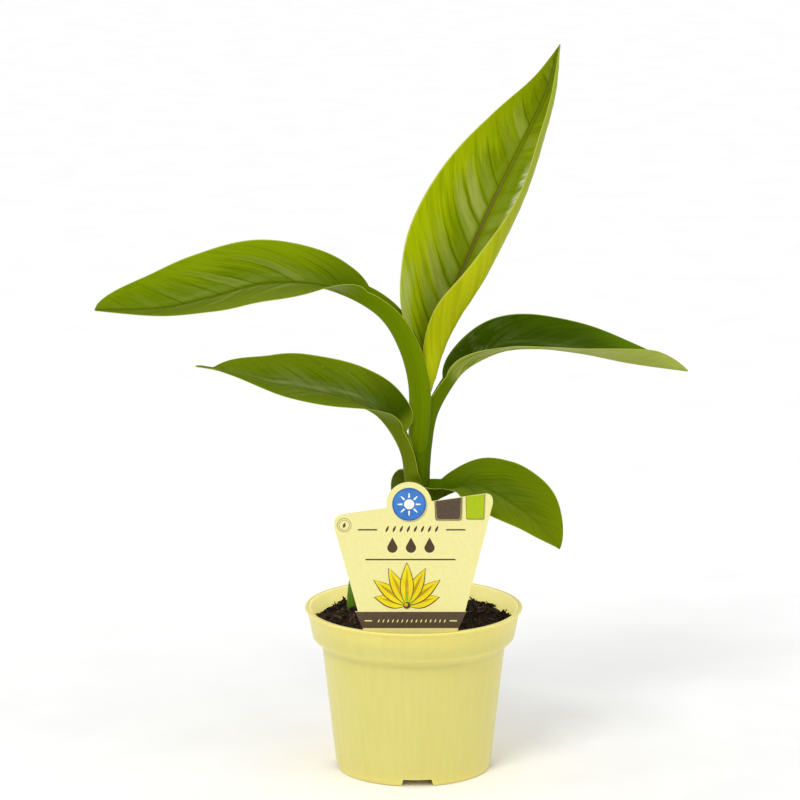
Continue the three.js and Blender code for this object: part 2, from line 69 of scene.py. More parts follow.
# Each leaf repeats the part's source: path is the midrib, faces the way its upper side
# looks at the base, petiole the share before the blade. sheath is what the fine leaf adds
# below: the radius of its layer, measured from the stem's, and how far round the stem it
# reaches on each side, in degrees, evenly spaced from the soil up to the path's start.
LEAVES = {
    "leaf_top": {
        "path": [
            (5.6, 3.4, 206.3), (8, 6, 218), (11, 8, 236), (17, 8, 256), (27, 7, 279),
            (43, 6, 316), (60, 4, 351), (72, 1, 378), (78, -2, 402),
        ],
        "faces": (-0.1, -1, 0), "petiole": 0.01, "drip": 0, "roll": [0],
        "stalk": [9], "channel": [10], "wrap": [150],
        "left": {"width": 36, "widest": 0.42, "base": 0.85, "tip": 1.05,
                 "fold": [30, 20, 0, 0, 0], "curl": [90, 20, 0, 0, 10]},
        "right": {"width": 39, "widest": 0.38, "base": 0.75, "tip": 1,
                  "fold": [10, 0, 0, 0, 0], "curl": [200, 215, 165, 130, 135, 150]},
        "sheath": {"layer": -2.2, "reach": [170, 170, 170], "foot": 150},
        "veins": {"spacing": 12.5, "lean": 0.75, "bend": 0.55},
    },
    "leaf_left_upper": {
        "path": [
            (-2.9, 0, 184), (-3.2, -1, 217), (-9, -3, 238), (-18, -5, 253),
            (-34, -9, 265), (-52, -13, 273), (-80, -18, 275), (-110, -23, 268),
            (-136, -27, 263), (-171, -32, 263),
        ],
        "faces": (1, 0, 0), "petiole": 0.35, "drip": 0,
        "roll": [0, 0, -12, -20, -20, -20],
        "stalk": [14, 12.5, 11, 10, 9], "channel": [0, 5, 20, 45, 60],
        "wrap": [170, 150, 105, 50, 20],
        "left": {"width": 27, "widest": 0.45, "base": 0.6, "tip": 0.6,
                 "fold": [60, 28, 26, 32, 36], "curl": [30, 0, 0, 0, 0]},
        "right": {"width": 27, "widest": 0.52, "base": 0.5, "tip": 0.6,
                  "fold": [45, 26, 23, 23, 20], "curl": [0]},
        "sheath": {"layer": -1.0, "reach": [178, 178, 178, 172], "foot": 82},
        "veins": {"spacing": 10, "lean": 1.25, "bend": 0.6},
    },
    "leaf_left_lower": {
        "path": [
            (-5, -4, 163), (-7, -7, 178), (-12, -11, 190), (-20, -17, 203),
            (-32, -24, 211), (-57, -36, 220), (-77, -44, 225), (-98, -50, 233),
            (-116, -54, 237),
        ],
        "faces": (1, 0, 0), "petiole": 0.17, "drip": 0.07, "roll": [0],
        "stalk": [9, 6, 6], "channel": [20, 45, 50], "wrap": [70, 25, 20],
        "left": {"width": 22, "widest": 0.5, "base": 0.6, "tip": 0.9,
                 "fold": [45, 33, 22, 24, 20], "curl": [20, 0, 0, 0, 0]},
        "right": {"width": 22, "widest": 0.52, "base": 0.2, "tip": 0.8,
                  "fold": [55, 36, 22, 20, 20], "curl": [0]},
        "sheath": {"layer": 0.0, "reach": [170, 165, 150, 125, 90, 66, 60], "foot": 82},
        "veins": {"spacing": 11, "lean": 1.3, "bend": 0.6},
    },
    "leaf_right": {
        "path": [
            (9, 0, 169), (10, 1, 181), (13, 2, 198), (21, 5, 213), (29, 8, 223),
            (47, 13, 232), (67, 18, 233), (92, 24, 229), (120, 30, 222), (152, 36, 216),
        ],
        "faces": (-1, 0, 0), "petiole": 0.24, "drip": 0,
        "roll": [0, 0, 20, 20, 20, 10],
        "stalk": [12.5, 9, 6.5, 6], "channel": [0, 15, 40, 50], "wrap": [118, 75, 25, 0],
        "left": {"width": 24, "widest": 0.5, "base": 0.5, "tip": 0.62,
                 "fold": [45, 43, 34, 30, 30], "curl": [0]},
        "right": {"width": 24, "widest": 0.45, "base": 0.6, "tip": 0.8,
                  "fold": [45, 20, 15, 27, 45], "curl": [0, 0, 0, 20, 60]},
        "sheath": {"layer": -0.5, "reach": [178, 175, 160, 120], "foot": 82},
        "veins": {"spacing": 9, "lean": 1.3, "bend": 0.6},
    },
    "leaf_lower_right": {
        "path": [
            (9, -3, 148), (14, -5, 153), (22, -9, 159), (32, -14, 163), (41, -20, 161),
            (52, -27, 156), (63, -32, 149), (71, -34, 141), (79, -35, 132),
        ],
        "faces": (-1, 0, 0), "petiole": 0.02, "drip": 0,
        "roll": [0, 0, 0, -5, -5, 0],
        "stalk": [12], "channel": [75], "wrap": [0],
        "left": {"width": 26, "widest": 0.6, "base": 0.9, "tip": 0.7,
                 "fold": [50, 12, 8, 5, 0], "curl": [0, 0, -10, -10, 0]},
        "right": {"width": 18, "widest": 0.45, "base": 0.8, "tip": 1.1,
                  "fold": [80, 30, 15, 5, 0], "curl": [0, 0, -10, 0, 0]},
        "sheath": {"layer": 0.35, "reach": [5, 12, 30, 60], "foot": 112},
        "veins": {"spacing": 9, "lean": 1.2, "bend": 0.6},
    },
    "leaf_back": {
        "path": [
            (2, 6, 148), (1, 9, 157), (-2, 17, 163), (-4, 27, 160), (-5, 34, 148),
            (-5, 37, 130), (-4, 38, 114),
        ],
        "faces": (0, -1, 0), "petiole": 0.2, "drip": 0, "roll": [0],
        "stalk": [7, 4], "channel": [10, 40], "wrap": [60, 0],
        "left": {"width": 11, "widest": 0.45, "base": 0.6, "tip": 0.9,
                 "fold": [20, 10, 5], "curl": [0, -60, -30]},
        "right": {"width": 11, "widest": 0.45, "base": 0.6, "tip": 0.9,
                  "fold": [20, 10, 5], "curl": [0, -60, -30]},
        "sheath": {"layer": 0.4, "reach": [120, 110, 70], "foot": 82},
        "veins": {"spacing": 7, "lean": 1.2, "bend": 0.6},
    },
}
BLADE = {"rows": 170, "sheath_rows": 34, "columns": 24, "thickness": 0.45}
FLESH = 0.7  # how much thicker the petiole's walls are at its keel
RIB = {"depth": 1.5, "width": 2.2}
GROOVE = {"depth": 0.35, "width": 0.7}
CREASE = 0.16  # how deep the side veins lie
VEIN_SHIFT = 0.35  # by how much of a space the right half's veins are ahead of the left's

# ---------------- curves and profiles


def ease(x):
    """A smooth step from 0 to 1."""
    x = np.clip(x, 0, 1)
    return x * x * (3 - 2 * x)


def along(values, share):
    """Evenly spaced values, joined by a smooth line and read at shares from 0 to 1."""
    v = np.asarray(values, float)
    share = np.clip(np.asarray(share, float), 0, 1)
    if len(v) == 1:
        return np.full(share.shape, v[0])
    place = share * (len(v) - 1)
    i = np.minimum(place.astype(int), len(v) - 2)
    w = place - i
    a, b = v[i], v[i + 1]
    m = (b - v[np.maximum(i - 1, 0)]) / 2
    n = (v[np.minimum(i + 2, len(v) - 1)] - a) / 2
    return a + m * w + (3 * (b - a) - 2 * m - n) * w**2 + (2 * (a - b) + m + n) * w**3


def curve_through(points, count=600):
    """Many points of the centripetal Catmull-Rom curve through these ones."""
    p = np.asarray(points, float)
    p = np.vstack([2 * p[0] - p[1], p, 2 * p[-1] - p[-2]])
    steps = np.maximum(np.linalg.norm(np.diff(p, axis=0), axis=1), 1e-6) ** 0.5
    out = []
    per_span = max(count // (len(p) - 3), 2)
    for i in range(1, len(p) - 2):
        w = np.linspace(0, 1, per_span, endpoint=i == len(p) - 3)[:, None]
        d0, d1, d2 = steps[i - 1], steps[i], steps[i + 1]
        m = (p[i] - p[i - 1]) / d0 - (p[i + 1] - p[i - 1]) / (d0 + d1)
        m = (m + (p[i + 1] - p[i]) / d1) * d1
        n = (p[i + 1] - p[i]) / d1 - (p[i + 2] - p[i]) / (d1 + d2)
        n = (n + (p[i + 2] - p[i + 1]) / d2) * d1
        rise = p[i + 1] - p[i]
        out.append(p[i] + m * w + (3 * rise - 2 * m - n) * w**2 + (m + n - 2 * rise) * w**3)
    return np.vstack(out)


def lengths(points):
    """How far along a curve each of its points is."""
    steps = np.linalg.norm(np.diff(points, axis=0), axis=1)
    return np.concatenate([[0], np.cumsum(steps)])


def read(points, runs, place):
    """The points of a curve at these lengths along it."""
    return np.stack([np.interp(place, runs, points[:, k]) for k in range(3)], axis=1)


def unit(v):
    return v / np.linalg.norm(v, axis=-1, keepdims=True)


def stem_radius(z):
    """The pseudostem's radius at a height: a flared foot and a slow taper."""
    z = np.asarray(z, float)
    flare = (1 - np.clip((z - SOIL_TOP) / (STEM["waist_z"] - SOIL_TOP), 0, 1)) ** 2
    taper = np.clip((z - STEM["waist_z"]) / (STEM["top_z"] - STEM["waist_z"]), 0, 1)
    straight = STEM["waist"] + (STEM["top"] - STEM["waist"]) * taper
    return straight + (STEM["foot"] - STEM["waist"]) * flare


# ---------------- meshes


def add_object(name, data):
    """A new object in the scene, at the origin."""
    piece = bpy.data.objects.new(name, data)
    bpy.context.collection.objects.link(piece)
    return piece


def mesh_piece(name, vertices, faces, material, node, maps=None, smooth=True):
    """A mesh in millimetres as a piece that stands for a CAD node and rides its body."""
    mesh = bpy.data.meshes.new(name)
    mesh.from_pydata((np.asarray(vertices, float) * MM).tolist(), [], faces)
    mesh.validate()
    mesh.polygons.foreach_set("use_smooth", [smooth] * len(mesh.polygons))
    corner = np.empty(len(mesh.loops), dtype=np.int32)
    mesh.loops.foreach_get("vertex_index", corner)
    for title, values in (maps or {}).items():
        layer = mesh.uv_layers.new(name=title)
        layer.data.foreach_set("uv", np.asarray(values, float)[corner].ravel())
    mesh.materials.append(material)
    piece = add_object(name, mesh)
    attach(piece, BODY)
    if node:
        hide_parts(node)
    return piece


def ring(turns, radius, z, x=0, y=0):
    """A level ring of points."""
    level = np.full(len(turns), z)
    return np.stack([x + radius * np.cos(turns), y + radius * np.sin(turns), level], axis=1)


def grid_faces(rows, columns, start=0, closed=False, flip=False):
    """The quads of a grid of vertices, row by row."""
    faces = []
    last = columns if closed else columns - 1
    for i in range(rows - 1):
        for k in range(last):
            a = start + i * columns + k
            b = start + i * columns + (k + 1) % columns
            quad = (a, b, b + columns, a + columns)
            faces.append(quad[::-1] if flip else quad)
    return faces


# ---------------- leaves


def half_width(half, share):
    """The outline of half a blade: a rise to its widest place and a fall to the tip."""
    rise = np.sin(np.pi / 2 * np.clip(share / half["widest"], 0, 1)) ** half["base"]
    run = np.clip((share - half["widest"]) / (1 - half["widest"]), 0, 1)
    fall = np.maximum(np.cos(np.pi / 2 * run), 0) ** half["tip"]
    return half["width"] * np.where(share < half["widest"], rise, fall)


def leaf_rows(leaf):
    """The places along a leaf, from its sheath's foot to its tip: share is 0 at the
    start of the path, below 0 in the sheath and 1 at the tip."""
    path = curve_through(leaf["path"])
    runs = lengths(path)
    total = runs[-1]
    start = path[0]
    foot_z = leaf["sheath"]["foot"]
    count = BLADE["sheath_rows"]
    heights = np.linspace(foot_z, start[2], count, endpoint=False)
    out = unit(start[:2] - np.array([STEM["x"], 0]))
    near = np.linalg.norm(start[:2] - np.array([STEM["x"], 0]))
    climb = (heights - foot_z) / (start[2] - foot_z)
    hug = stem_radius(heights) + leaf["sheath"]["layer"]
    blend = ease((climb - 0.7) / 0.3)
    radius = hug * (1 - blend) + near * blend
    below = np.stack([STEM["x"] + out[0] * radius, out[1] * radius, heights], axis=1)
    shares = np.linspace(0, 1, BLADE["rows"])
    above = read(path, runs, shares * total)
    below_share = (heights - start[2]) / total
    return {
        "point": np.vstack([below, above]),
        "share": np.concatenate([below_share, shares]),
        "climb": np.concatenate([climb, np.ones(len(shares))]),
        "radius": np.concatenate([hug, np.zeros(len(shares))]),
        "total": total,
        "first": count,
    }


def leaf_frames(leaf, rows):
    """At each row, the way the upper side looks and the way to the right half."""
    point = rows["point"]
    tangent = unit(np.gradient(point, axis=0))
    normal = np.empty_like(point)
    for order in (range(rows["first"], len(point)), range(rows["first"], -1, -1)):
        up = np.array(leaf["faces"], float)
        for i in order:
            up = unit(up - up.dot(tangent[i]) * tangent[i])
            normal[i] = up
    axis = np.stack([STEM["x"] - point[:, 0], -point[:, 1], 0 * point[:, 0]], axis=1)
    inward = unit(axis - np.sum(axis * tangent, axis=1, keepdims=True) * tangent)
    sheath = (1 - ease((rows["share"] + 0.02) / 0.06))[:, None]
    normal = unit(normal * (1 - sheath) + inward * sheath)
    side = np.cross(tangent, normal)
    turn = np.radians(along(leaf["roll"], rows["share"]))[:, None]
    turned = normal * np.cos(turn) + side * np.sin(turn)
    return turned, side * np.cos(turn) - normal * np.sin(turn)


def half_section(leaf, half, rows, across):
    """One half of every section: how far out and up each place is, the surface's angle
    there and the half's width."""
    share = rows["share"]
    blade = np.clip((share - leaf["petiole"]) / (1 - leaf["petiole"]), 0, 1)
    climb = share / leaf["petiole"]
    outline = half_width(half, np.minimum(blade / (1 - leaf["drip"]), 1))
    stalk = along(leaf["stalk"], climb) * (1 - ease(blade / 0.35))
    least = 0.9 * np.minimum(1, (1 - blade) * 30 + 0.35)
    width = np.maximum(np.maximum(outline, stalk), least)
    opening = ease((share - leaf["petiole"] * 0.9) / 0.12)
    fold = along(leaf["channel"], climb) * (1 - opening)
    fold += along(half["fold"], blade) * opening
    curl = along(leaf["wrap"], climb) * (1 - opening)
    curl += along(half["curl"], blade) * opening
    # In the sheath the section is an arc round the stem.
    reach = along(leaf["sheath"]["reach"], rows["climb"])
    held = (1 - ease((share + 0.05) / 0.05)) * (share < 0)
    width = width * (1 - held) + np.radians(reach) * rows["radius"] * held
    fold = fold * (1 - held)
    curl = curl * (1 - held) + reach * held
    angle = np.radians(fold[:, None] + curl[:, None] * across[None, :])
    middle = (angle[:, 1:] + angle[:, :-1]) / 2
    step = width[:, None] * np.diff(across)[None, :]
    out = np.cumsum(np.cos(middle) * step, axis=1)
    up = np.cumsum(np.sin(middle) * step, axis=1)
    zero = np.zeros((len(share), 1))
    return np.hstack([zero, out]), np.hstack([zero, up]), angle, width, blade


def half_sheets(leaf, sign, half, rows, frames, body, across):
    """One half's upper and lower surface and its two maps, from the midrib to the margin.
    sign is -1 on the left and 1 on the right."""
    normal, right = frames
    centre, wall, rib = body
    out, up, angle, width, blade = half_section(leaf, half, rows, across)
    tilt = angle.copy()
    tilt[:, 0] = 0
    outward = normal[:, None] * np.cos(tilt)[..., None]
    outward = outward - right[:, None] * (sign * np.sin(tilt))[..., None]
    middle = centre[:, None] + right[:, None] * (sign * out)[..., None]
    middle = middle + normal[:, None] * up[..., None]
    distance = width[:, None] * across[None, :]
    veins = leaf["veins"]
    run = (rows["share"] * rows["total"])[:, None]
    swing = distance * veins["lean"] + distance * across * veins["bend"]
    phase = (run - swing) / veins["spacing"] + (VEIN_SHIFT if sign > 0 else 0)
    spread = blade[:, None] * np.ones_like(distance)
    fade = ease(across[None, :] / 0.1) * (1 - ease((across[None, :] - 0.55) / 0.4))
    valley = np.abs(phase - np.round(phase)) * 2
    crease = CREASE * (np.minimum(valley / 0.35, 1) - 1) * fade * ease(spread / 0.08)
    groove = GROOVE["depth"] * np.exp(-((distance / GROOVE["width"]) ** 2))
    groove = groove * (rib[:, None] / RIB["depth"])
    thick = wall[:, None] * (1 - 0.6 * across[None, :] ** 2)
    thick = thick + rib[:, None] * np.exp(-((distance / RIB["width"]) ** 2))
    top = middle + outward * (crease - groove)[..., None]
    under = middle + outward * (crease - thick)[..., None]
    vein_map = np.stack([phase, distance / 10], axis=-1)
    place = 0.5 + 0.5 * sign * across[None, :] + 0 * spread
    return top, under, vein_map, np.stack([place, spread], axis=-1)


def closed_sheets(rows, columns):
    """The faces of two grids of vertices, one over the other, joined round their rim."""
    size = rows * columns
    faces = grid_faces(rows, columns) + grid_faces(rows, columns, size, flip=True)
    for i in range(rows - 1):
        a, b = i * columns, (i + 1) * columns
        faces.append((a, b, b + size, a + size))
        a, b = a + columns - 1, b + columns - 1
        faces.append((a, a + size, b + size, b))
    tip = size - columns
    for k in range(columns - 1):
        faces.append((k, k + size, k + 1 + size, k + 1))
        faces.append((tip + k, tip + k + 1, tip + k + 1 + size, tip + k + size))
    return faces


def leaf_piece(name, leaf, material):
    """A thin blade with both its sides: midrib, side veins, petiole and sheath."""
    rows = leaf_rows(leaf)
    normal, right = leaf_frames(leaf, rows)
    share = rows["share"]
    across = np.append(np.linspace(0, 1, BLADE["columns"]) ** 1.15 * 0.985, 1)
    opening = ease((share - leaf["petiole"]) / 0.2)
    rib = RIB["depth"] * (1 - np.clip(share, 0, 1)) ** 0.8
    rib = rib * ease(share / 0.12 + 0.2)
    wall = BLADE["thickness"] + FLESH * (1 - opening) * ease((share + 0.06) / 0.1)
    centre = rows["point"] + normal * ((wall + rib) * (1 - opening))[:, None]
    left_half, right_half = (
        half_sheets(leaf, sign, leaf[side], rows, (normal, right), (centre, wall, rib), across)
        for sign, side in ((-1, "left"), (1, "right")))
    # The left half runs from its margin to the midrib, which the right half begins with.
    top, under, vein_map, blade_map = (
        np.concatenate([a[:, :0:-1], b], axis=1) for a, b in zip(left_half, right_half))
    count = top.shape[1]
    vertices = np.concatenate([top.reshape(-1, 3), under.reshape(-1, 3)])
    maps = {"veins": np.concatenate([vein_map.reshape(-1, 2)] * 2),
            "blade": np.concatenate([blade_map.reshape(-1, 2)] * 2)}
    faces = closed_sheets(len(share), count)
    piece = mesh_piece(name, vertices, faces, material, name.replace("blade_", ""), maps)
    side = piece.data.attributes.new("under", "FLOAT", "POINT")
    side.data.foreach_set("value", np.repeat([0.0, 1.0], len(share) * count))
    return piece


# ---------------- materials


def linear(r, g, b):
    """An sRGB colour in 0 to 255 as the linear one that shaders take."""
    def channel(c):
        c = c / 255
        return c / 12.92 if c <= 0.04045 else ((c + 0.055) / 1.055) ** 2.4
    return (channel(r), channel(g), channel(b), 1)


class Shader:
    """A material on a Principled shader, with short calls for the nodes that feed it."""

    def __init__(self, name, **settings):
        self.material = bpy.data.materials.new(name)
        self.material.use_nodes = True
        self.tree = self.material.node_tree
        self.surface = self.tree.nodes["Principled BSDF"]
        for title, value in settings.items():
            self.surface.inputs[title.replace("_", " ")].default_value = value

    def node(self, kind, **settings):
        node = self.tree.nodes.new("ShaderNode" + kind)
        for title, value in settings.items():
            setattr(node, title, value)
        return node

    def feed(self, socket, value):
        if isinstance(value, bpy.types.NodeSocket):
            self.tree.links.new(value, socket)
        else:
            socket.default_value = value

    def math(self, operation, *values):
        node = self.node("Math", operation=operation)
        for socket, value in zip(node.inputs, values):
            self.feed(socket, value)
        return node.outputs[0]

    def ramp(self, value, low, high, out_low=0.0, out_high=1.0):
        """value from low to high as a smooth step from out_low to out_high."""
        node = self.node("MapRange", interpolation_type="SMOOTHSTEP")
        for socket, number in zip(node.inputs, (value, low, high, out_low, out_high)):
            self.feed(socket, number)
        return node.outputs[0]

    def mix(self, factor, a, b, blend="MIX"):
        node = self.node("Mix", data_type="RGBA", blend_type=blend)
        self.feed(node.inputs[0], factor)
        self.feed(node.inputs[6], a)
        self.feed(node.inputs[7], b)
        return node.outputs[2]

    def place(self, scale=(1, 1, 1)):
        """Object coordinates, stretched."""
        node = self.node("Mapping")
        node.inputs["Scale"].default_value = scale
        self.feed(node.inputs["Vector"], self.node("TexCoord").outputs["Object"])
        return node.outputs[0]

    def height(self):
        """Metres above the floor."""
        node = self.node("SeparateXYZ")
        self.feed(node.inputs[0], self.node("TexCoord").outputs["Object"])
        return node.outputs[2]

    def noise(self, scale, detail=3, stretch=(1, 1, 1)):
        node = self.node("TexNoise")
        self.feed(node.inputs["Vector"], self.place(stretch))
        node.inputs["Scale"].default_value = scale
        node.inputs["Detail"].default_value = detail
        return node.outputs["Fac"]

    def pattern(self, x, y, detail=2):
        """Noise over two numbers, such as places along and across a leaf."""
        spot = self.node("CombineXYZ")
        self.feed(spot.inputs[0], x)
        self.feed(spot.inputs[1], y)
        node = self.node("TexNoise")
        self.feed(node.inputs["Vector"], spot.outputs[0])
        node.inputs["Scale"].default_value = 1
        node.inputs["Detail"].default_value = detail
        return node.outputs["Fac"]

    def chance(self, number):
        """A random value from 0 to 1 for each whole number."""
        node = self.node("TexWhiteNoise", noise_dimensions="1D")
        self.feed(node.inputs["W"], number)
        return node.outputs["Value"]

    def product(self, first, *others):
        for other in others:
            first = self.math("MULTIPLY", first, other)
        return first

    def window(self, value, rise, fall, end=0.0):
        """1 between the two pairs of limits, 0 before them and end after them."""
        return self.product(self.ramp(value, *rise), self.ramp(value, *fall, 1.0, end))

    def uv(self, name):
        node = self.node("SeparateXYZ")
        self.feed(node.inputs[0], self.node("UVMap", uv_map=name).outputs[0])
        return node.outputs[0], node.outputs[1]

    def attribute(self, name):
        return self.node("Attribute", attribute_name=name).outputs["Fac"]

    def finish(self, colour=None, roughness=None, height=None, depth=0.0002, strength=1.0):
        if colour is not None:
            self.feed(self.surface.inputs["Base Color"], colour)
        if roughness is not None:
            self.feed(self.surface.inputs["Roughness"], roughness)
        if height is not None:
            bump = self.node("Bump")
            bump.inputs["Distance"].default_value = depth
            bump.inputs["Strength"].default_value = strength
            self.feed(bump.inputs["Height"], height)
            self.feed(self.surface.inputs["Normal"], bump.outputs[0])
        return self.material


GREEN_TINT = (0.8, 1.0, 0.2, 1)  # of the gloss on a living surface


class LeafShader(Shader):
    """A leaf's shader with the places on the leaf that its colours go by."""

    def __init__(self, name, look):
        super().__init__(name, Subsurface_Weight=0.06, Subsurface_Scale=0.002,
                         Subsurface_Radius=(0.5, 1.0, 0.1), Specular_Tint=GREEN_TINT,
                         Specular_IOR_Level=look["gloss"])
        self.look = look
        phase, self.distance = self.uv("veins")
        self.across, self.share = self.uv("blade")
        off = self.math("ABSOLUTE", self.math("SUBTRACT", self.across, 0.5))
        self.half = self.math("MULTIPLY", off, 2.0)
        self.near = self.ramp(self.across, 0.485, 0.515, *look["near_at"])
        self.outer = self.ramp(self.share, *look["near_from"])
        self.in_blade = self.ramp(self.share, 0.01, 0.08)
        self.middle = self.window(self.share, (0.06, 0.3), (0.55, 0.9), 0.2)
        wander = self.product(self.math("SUBTRACT", self.noise(45), 0.5), 0.3)
        self.waved = self.math("ADD", phase, wander)
        self.valley = self.math("PINGPONG", self.waved, 0.5)
        self.streaks = self.lengthwise(look["fine"], 1.6)
        self.threads = self.lengthwise(look["fine"] * 4, 2.5)

    def lengthwise(self, fineness, run):
        """Noise in long marks beside the side veins."""
        return self.pattern(self.product(self.waved, fineness), self.product(self.half, run))

    def by_side(self, title):
        """A pair of strengths from the look: on the far half and on the near one."""
        return self.ramp(self.near, 0.0, 1.0, *self.look[title])


def leaf_ground(s, look):
    """The two greens, mottled, and the tones of the tip, the base and the near half."""
    tone = s.math("ADD", s.ramp(s.half, 0.1, 0.8, -0.2, 0.25), s.noise(16, 3))
    tone = s.math("ADD", tone, s.product(s.math("SUBTRACT", s.streaks, 0.5), 0.9))
    colour = s.mix(s.ramp(tone, 0.3, 0.85), look["deep"], look["bright"])
    colour = s.mix(s.ramp(s.share, 0.5, 1.0, 0.0, 0.75), colour, look["tip"])
    base = s.ramp(s.share, 0.03, 0.32, look["base_strength"], 0.0)
    colour = s.mix(base, colour, look["base"])
    return s.mix(s.product(s.near, s.outer, look["near_strength"]), colour, look["near"])


def leaf_painted_sheen_patches(s, look, colour):
    """Painted sheen: paler patches between the side veins, and a pale band beside the midrib,
    that stand for soft light reflected by the leaf.
    """
    power = s.ramp(s.chance(s.math("FLOOR", s.math("ADD", s.waved, 50))), 0.1, 0.7)
    reach = s.window(s.half, (0.03, 0.1), (0.35, 0.8))
    patch = s.product(s.ramp(s.valley, 0.05, 0.25), reach, s.middle, power, look["patches"])
    patch = s.product(patch, s.ramp(s.streaks, 0.3, 0.6, 0.45, 1.0), s.by_side("patches_at"))
    # pale paints the sheen here: a painted reflection of soft light between the veins.
    colour = s.mix(patch, colour, look["pale"])
    strands = s.pattern(s.product(s.half, look["strands"]), s.product(s.share, 5.0))
    # The band is painted sheen as well, in pale streaks along the midrib.
    band = s.product(s.window(s.half, (0.02, 0.06), (0.12, 0.42)), s.ramp(strands, 0.28, 0.72),
                     s.middle, look["band"], s.by_side("band_at"), s.outer)
    return s.mix(band, colour, look["pale"])


def leaf_painted_glare(s, look, colour):
    """Painted highlights: pale glare streaks near the blade's base, and a painted soft sheen by
    the far margin.
    """
    glare = s.product(s.window(s.share, (0.04, 0.1), (0.14, 0.4)), s.ramp(s.threads, 0.42, 0.7),
                      s.ramp(s.noise(110), 0.42, 0.62), look["glare"])
    # The colour of the painted glare.
    colour = s.mix(glare, colour, linear(164, 174, 116))
    sheen = s.product(s.ramp(s.half, 0.68, 0.84), s.ramp(s.near, 0.0, 1.0, 1.0, 0.0),
                      s.window(s.share, (0.12, 0.19), (0.25, 0.34)),
                      s.ramp(s.streaks, 0.25, 0.6, 0.5, 1.0), look["sheen"])
    # The colour of the painted sheen.
    return s.mix(sheen, colour, linear(180, 190, 116))


def vein_lines(s, look):
    """How strongly the dark line of a side vein shows. Each vein has its own strength."""
    power = s.ramp(s.chance(s.math("ROUND", s.waved)), 0.1, 0.8, 0.12, 1.0)
    line = s.product(s.ramp(s.valley, 0.0, 0.07, 1.0, 0.0), s.ramp(s.half, 0.35, 0.95, 1.0, 0.0))
    return s.product(line, s.in_blade, power, look["lines"], s.by_side("lines_at"))


def leaf_marks(s, look, colour):
    """Fine threads, a painted highlight (glint) along the rolled edge, and pale specks."""
    thread = s.product(s.ramp(s.threads, 0.5, 0.68), s.in_blade, s.ramp(s.half, 0.05, 0.4), 0.3)
    colour = s.mix(thread, colour, look["vein"])
    # A painted glint: a highlight along the rolled edge, not the leaf's own colour.
    glint = s.product(s.window(s.half, (0.24, 0.36), (0.44, 0.56)), s.near,
                      s.window(s.share, (0.3, 0.4), (0.62, 0.72)),
                      s.ramp(s.threads, 0.42, 0.6), look["edge_glint"])
    colour = s.mix(glint, colour, linear(226, 230, 200))
    return s.mix(s.product(s.ramp(s.noise(420, 1), 0.74, 0.78), look["specks"]), colour,
                 look["pale"])


def leaf_midrib(s, look, colour):
    """The midrib between its two dark grooves."""
    groove = s.window(s.distance, (0.03, 0.06), (0.08, 0.15))
    colour = s.mix(s.product(groove, s.in_blade, look["groove"]), colour, look["vein"])
    rib = s.product(s.ramp(s.distance, 0.035, 0.055, 1.0, 0.0),
                    s.window(s.share, (0.02, 0.12), (0.5, 0.75), look["rib_end"]))
    return s.mix(s.product(rib, look["rib_strength"]), colour, look["rib"])


def leaf_underside(s, look, line):
    back = s.mix(s.ramp(s.streaks, 0.3, 0.7), look["under"], look["under_light"])
    back = s.mix(s.ramp(s.share, 0.35, 0.75, 0.0, 0.8), back, look["under_tip"])
    return s.mix(s.product(line, 0.45), back, look["vein"])


def leaf_stalk(s, look):
    """The petiole and the sheath: fibres lengthwise, darker towards the soil."""
    fibre = s.pattern(s.product(s.across, 60.0), s.product(s.distance, 0.2))
    stalk = s.mix(s.ramp(fibre, 0.3, 0.7), look["stalk"], look["stalk_light"])
    return s.mix(s.ramp(s.height(), 0.1, 0.23, 0.65, 0.0), stalk, linear(60, 86, 0))


def leaf_material(name, look):
    """The blade's two sides, then the stalk below it and the pale margin round it."""
    s = LeafShader(name, look)
    line = vein_lines(s, look)
    colour = leaf_painted_sheen_patches(s, look, leaf_ground(s, look))
    colour = s.mix(line, leaf_painted_glare(s, look, colour), look["vein"])
    colour = leaf_midrib(s, look, leaf_marks(s, look, colour))
    colour = s.mix(s.attribute("under"), colour, leaf_underside(s, look, line))
    colour = s.mix(s.in_blade, leaf_stalk(s, look), colour)
    turned_lip = s.product(s.ramp(s.share, 0.7, 0.84), s.near, look["lip"])
    edge = s.ramp(s.math("ADD", s.half, turned_lip), 0.97, 0.988)
    colour = s.mix(s.product(edge, 0.85), colour, look["margin"])
    rough = s.ramp(s.noise(90, 4), 0.3, 0.7, look["rough"] - 0.05, look["rough"] + 0.08)
    height = s.math("ADD", s.product(line, -0.9), s.product(s.streaks, 0.6))
    height = s.math("ADD", height, s.product(s.noise(700, 2), 0.2))
    return s.finish(colour, rough, height, depth=0.0003, strength=0.45)


def leaf_look(deep, bright, tip, pale, under, under_light, **more):
    """A leaf's colours as sRGB from 0 to 255, and its strengths where they aren't these."""
    # pale is the colour of the painted sheen in the patches and the band, and of the pale specks;
    # glare, sheen and edge_glint set painted highlights.
    look = {
        "deep": linear(*deep), "bright": linear(*bright), "tip": linear(*tip),
        "pale": linear(*pale), "under": linear(*under), "under_light": linear(*under_light),
        "stalk": linear(84, 110, 2), "stalk_light": linear(100, 126, 3),
        "vein": linear(60, 85, 0), "rib": linear(150, 165, 50), "rib_strength": 0.5,
        "margin": linear(172, 190, 70), "patches": 0.5, "band": 0.3, "strands": 11.0,
        "lines": 0.8, "specks": 0.0, "fine": 3.0, "rough": 0.42, "gloss": 0.035,
        "base": linear(*deep), "base_strength": 0.0, "near": linear(*deep),
        "near_at": (0.0, 1.0), "near_strength": 0.0, "band_at": (1.0, 1.0), "groove": 0.55,
        "glare": 0.0, "lines_at": (1.0, 1.0), "rib_end": 1.0, "under_tip": linear(*under),
        "edge_glint": 0.0, "patches_at": (1.0, 1.0), "sheen": 0.0, "lip": 0.0,
        "near_from": (-1.0, -0.5),
    }
    for title, value in more.items():
        look[title] = linear(*value) if len(np.shape(value)) and len(value) == 3 else value
    return look
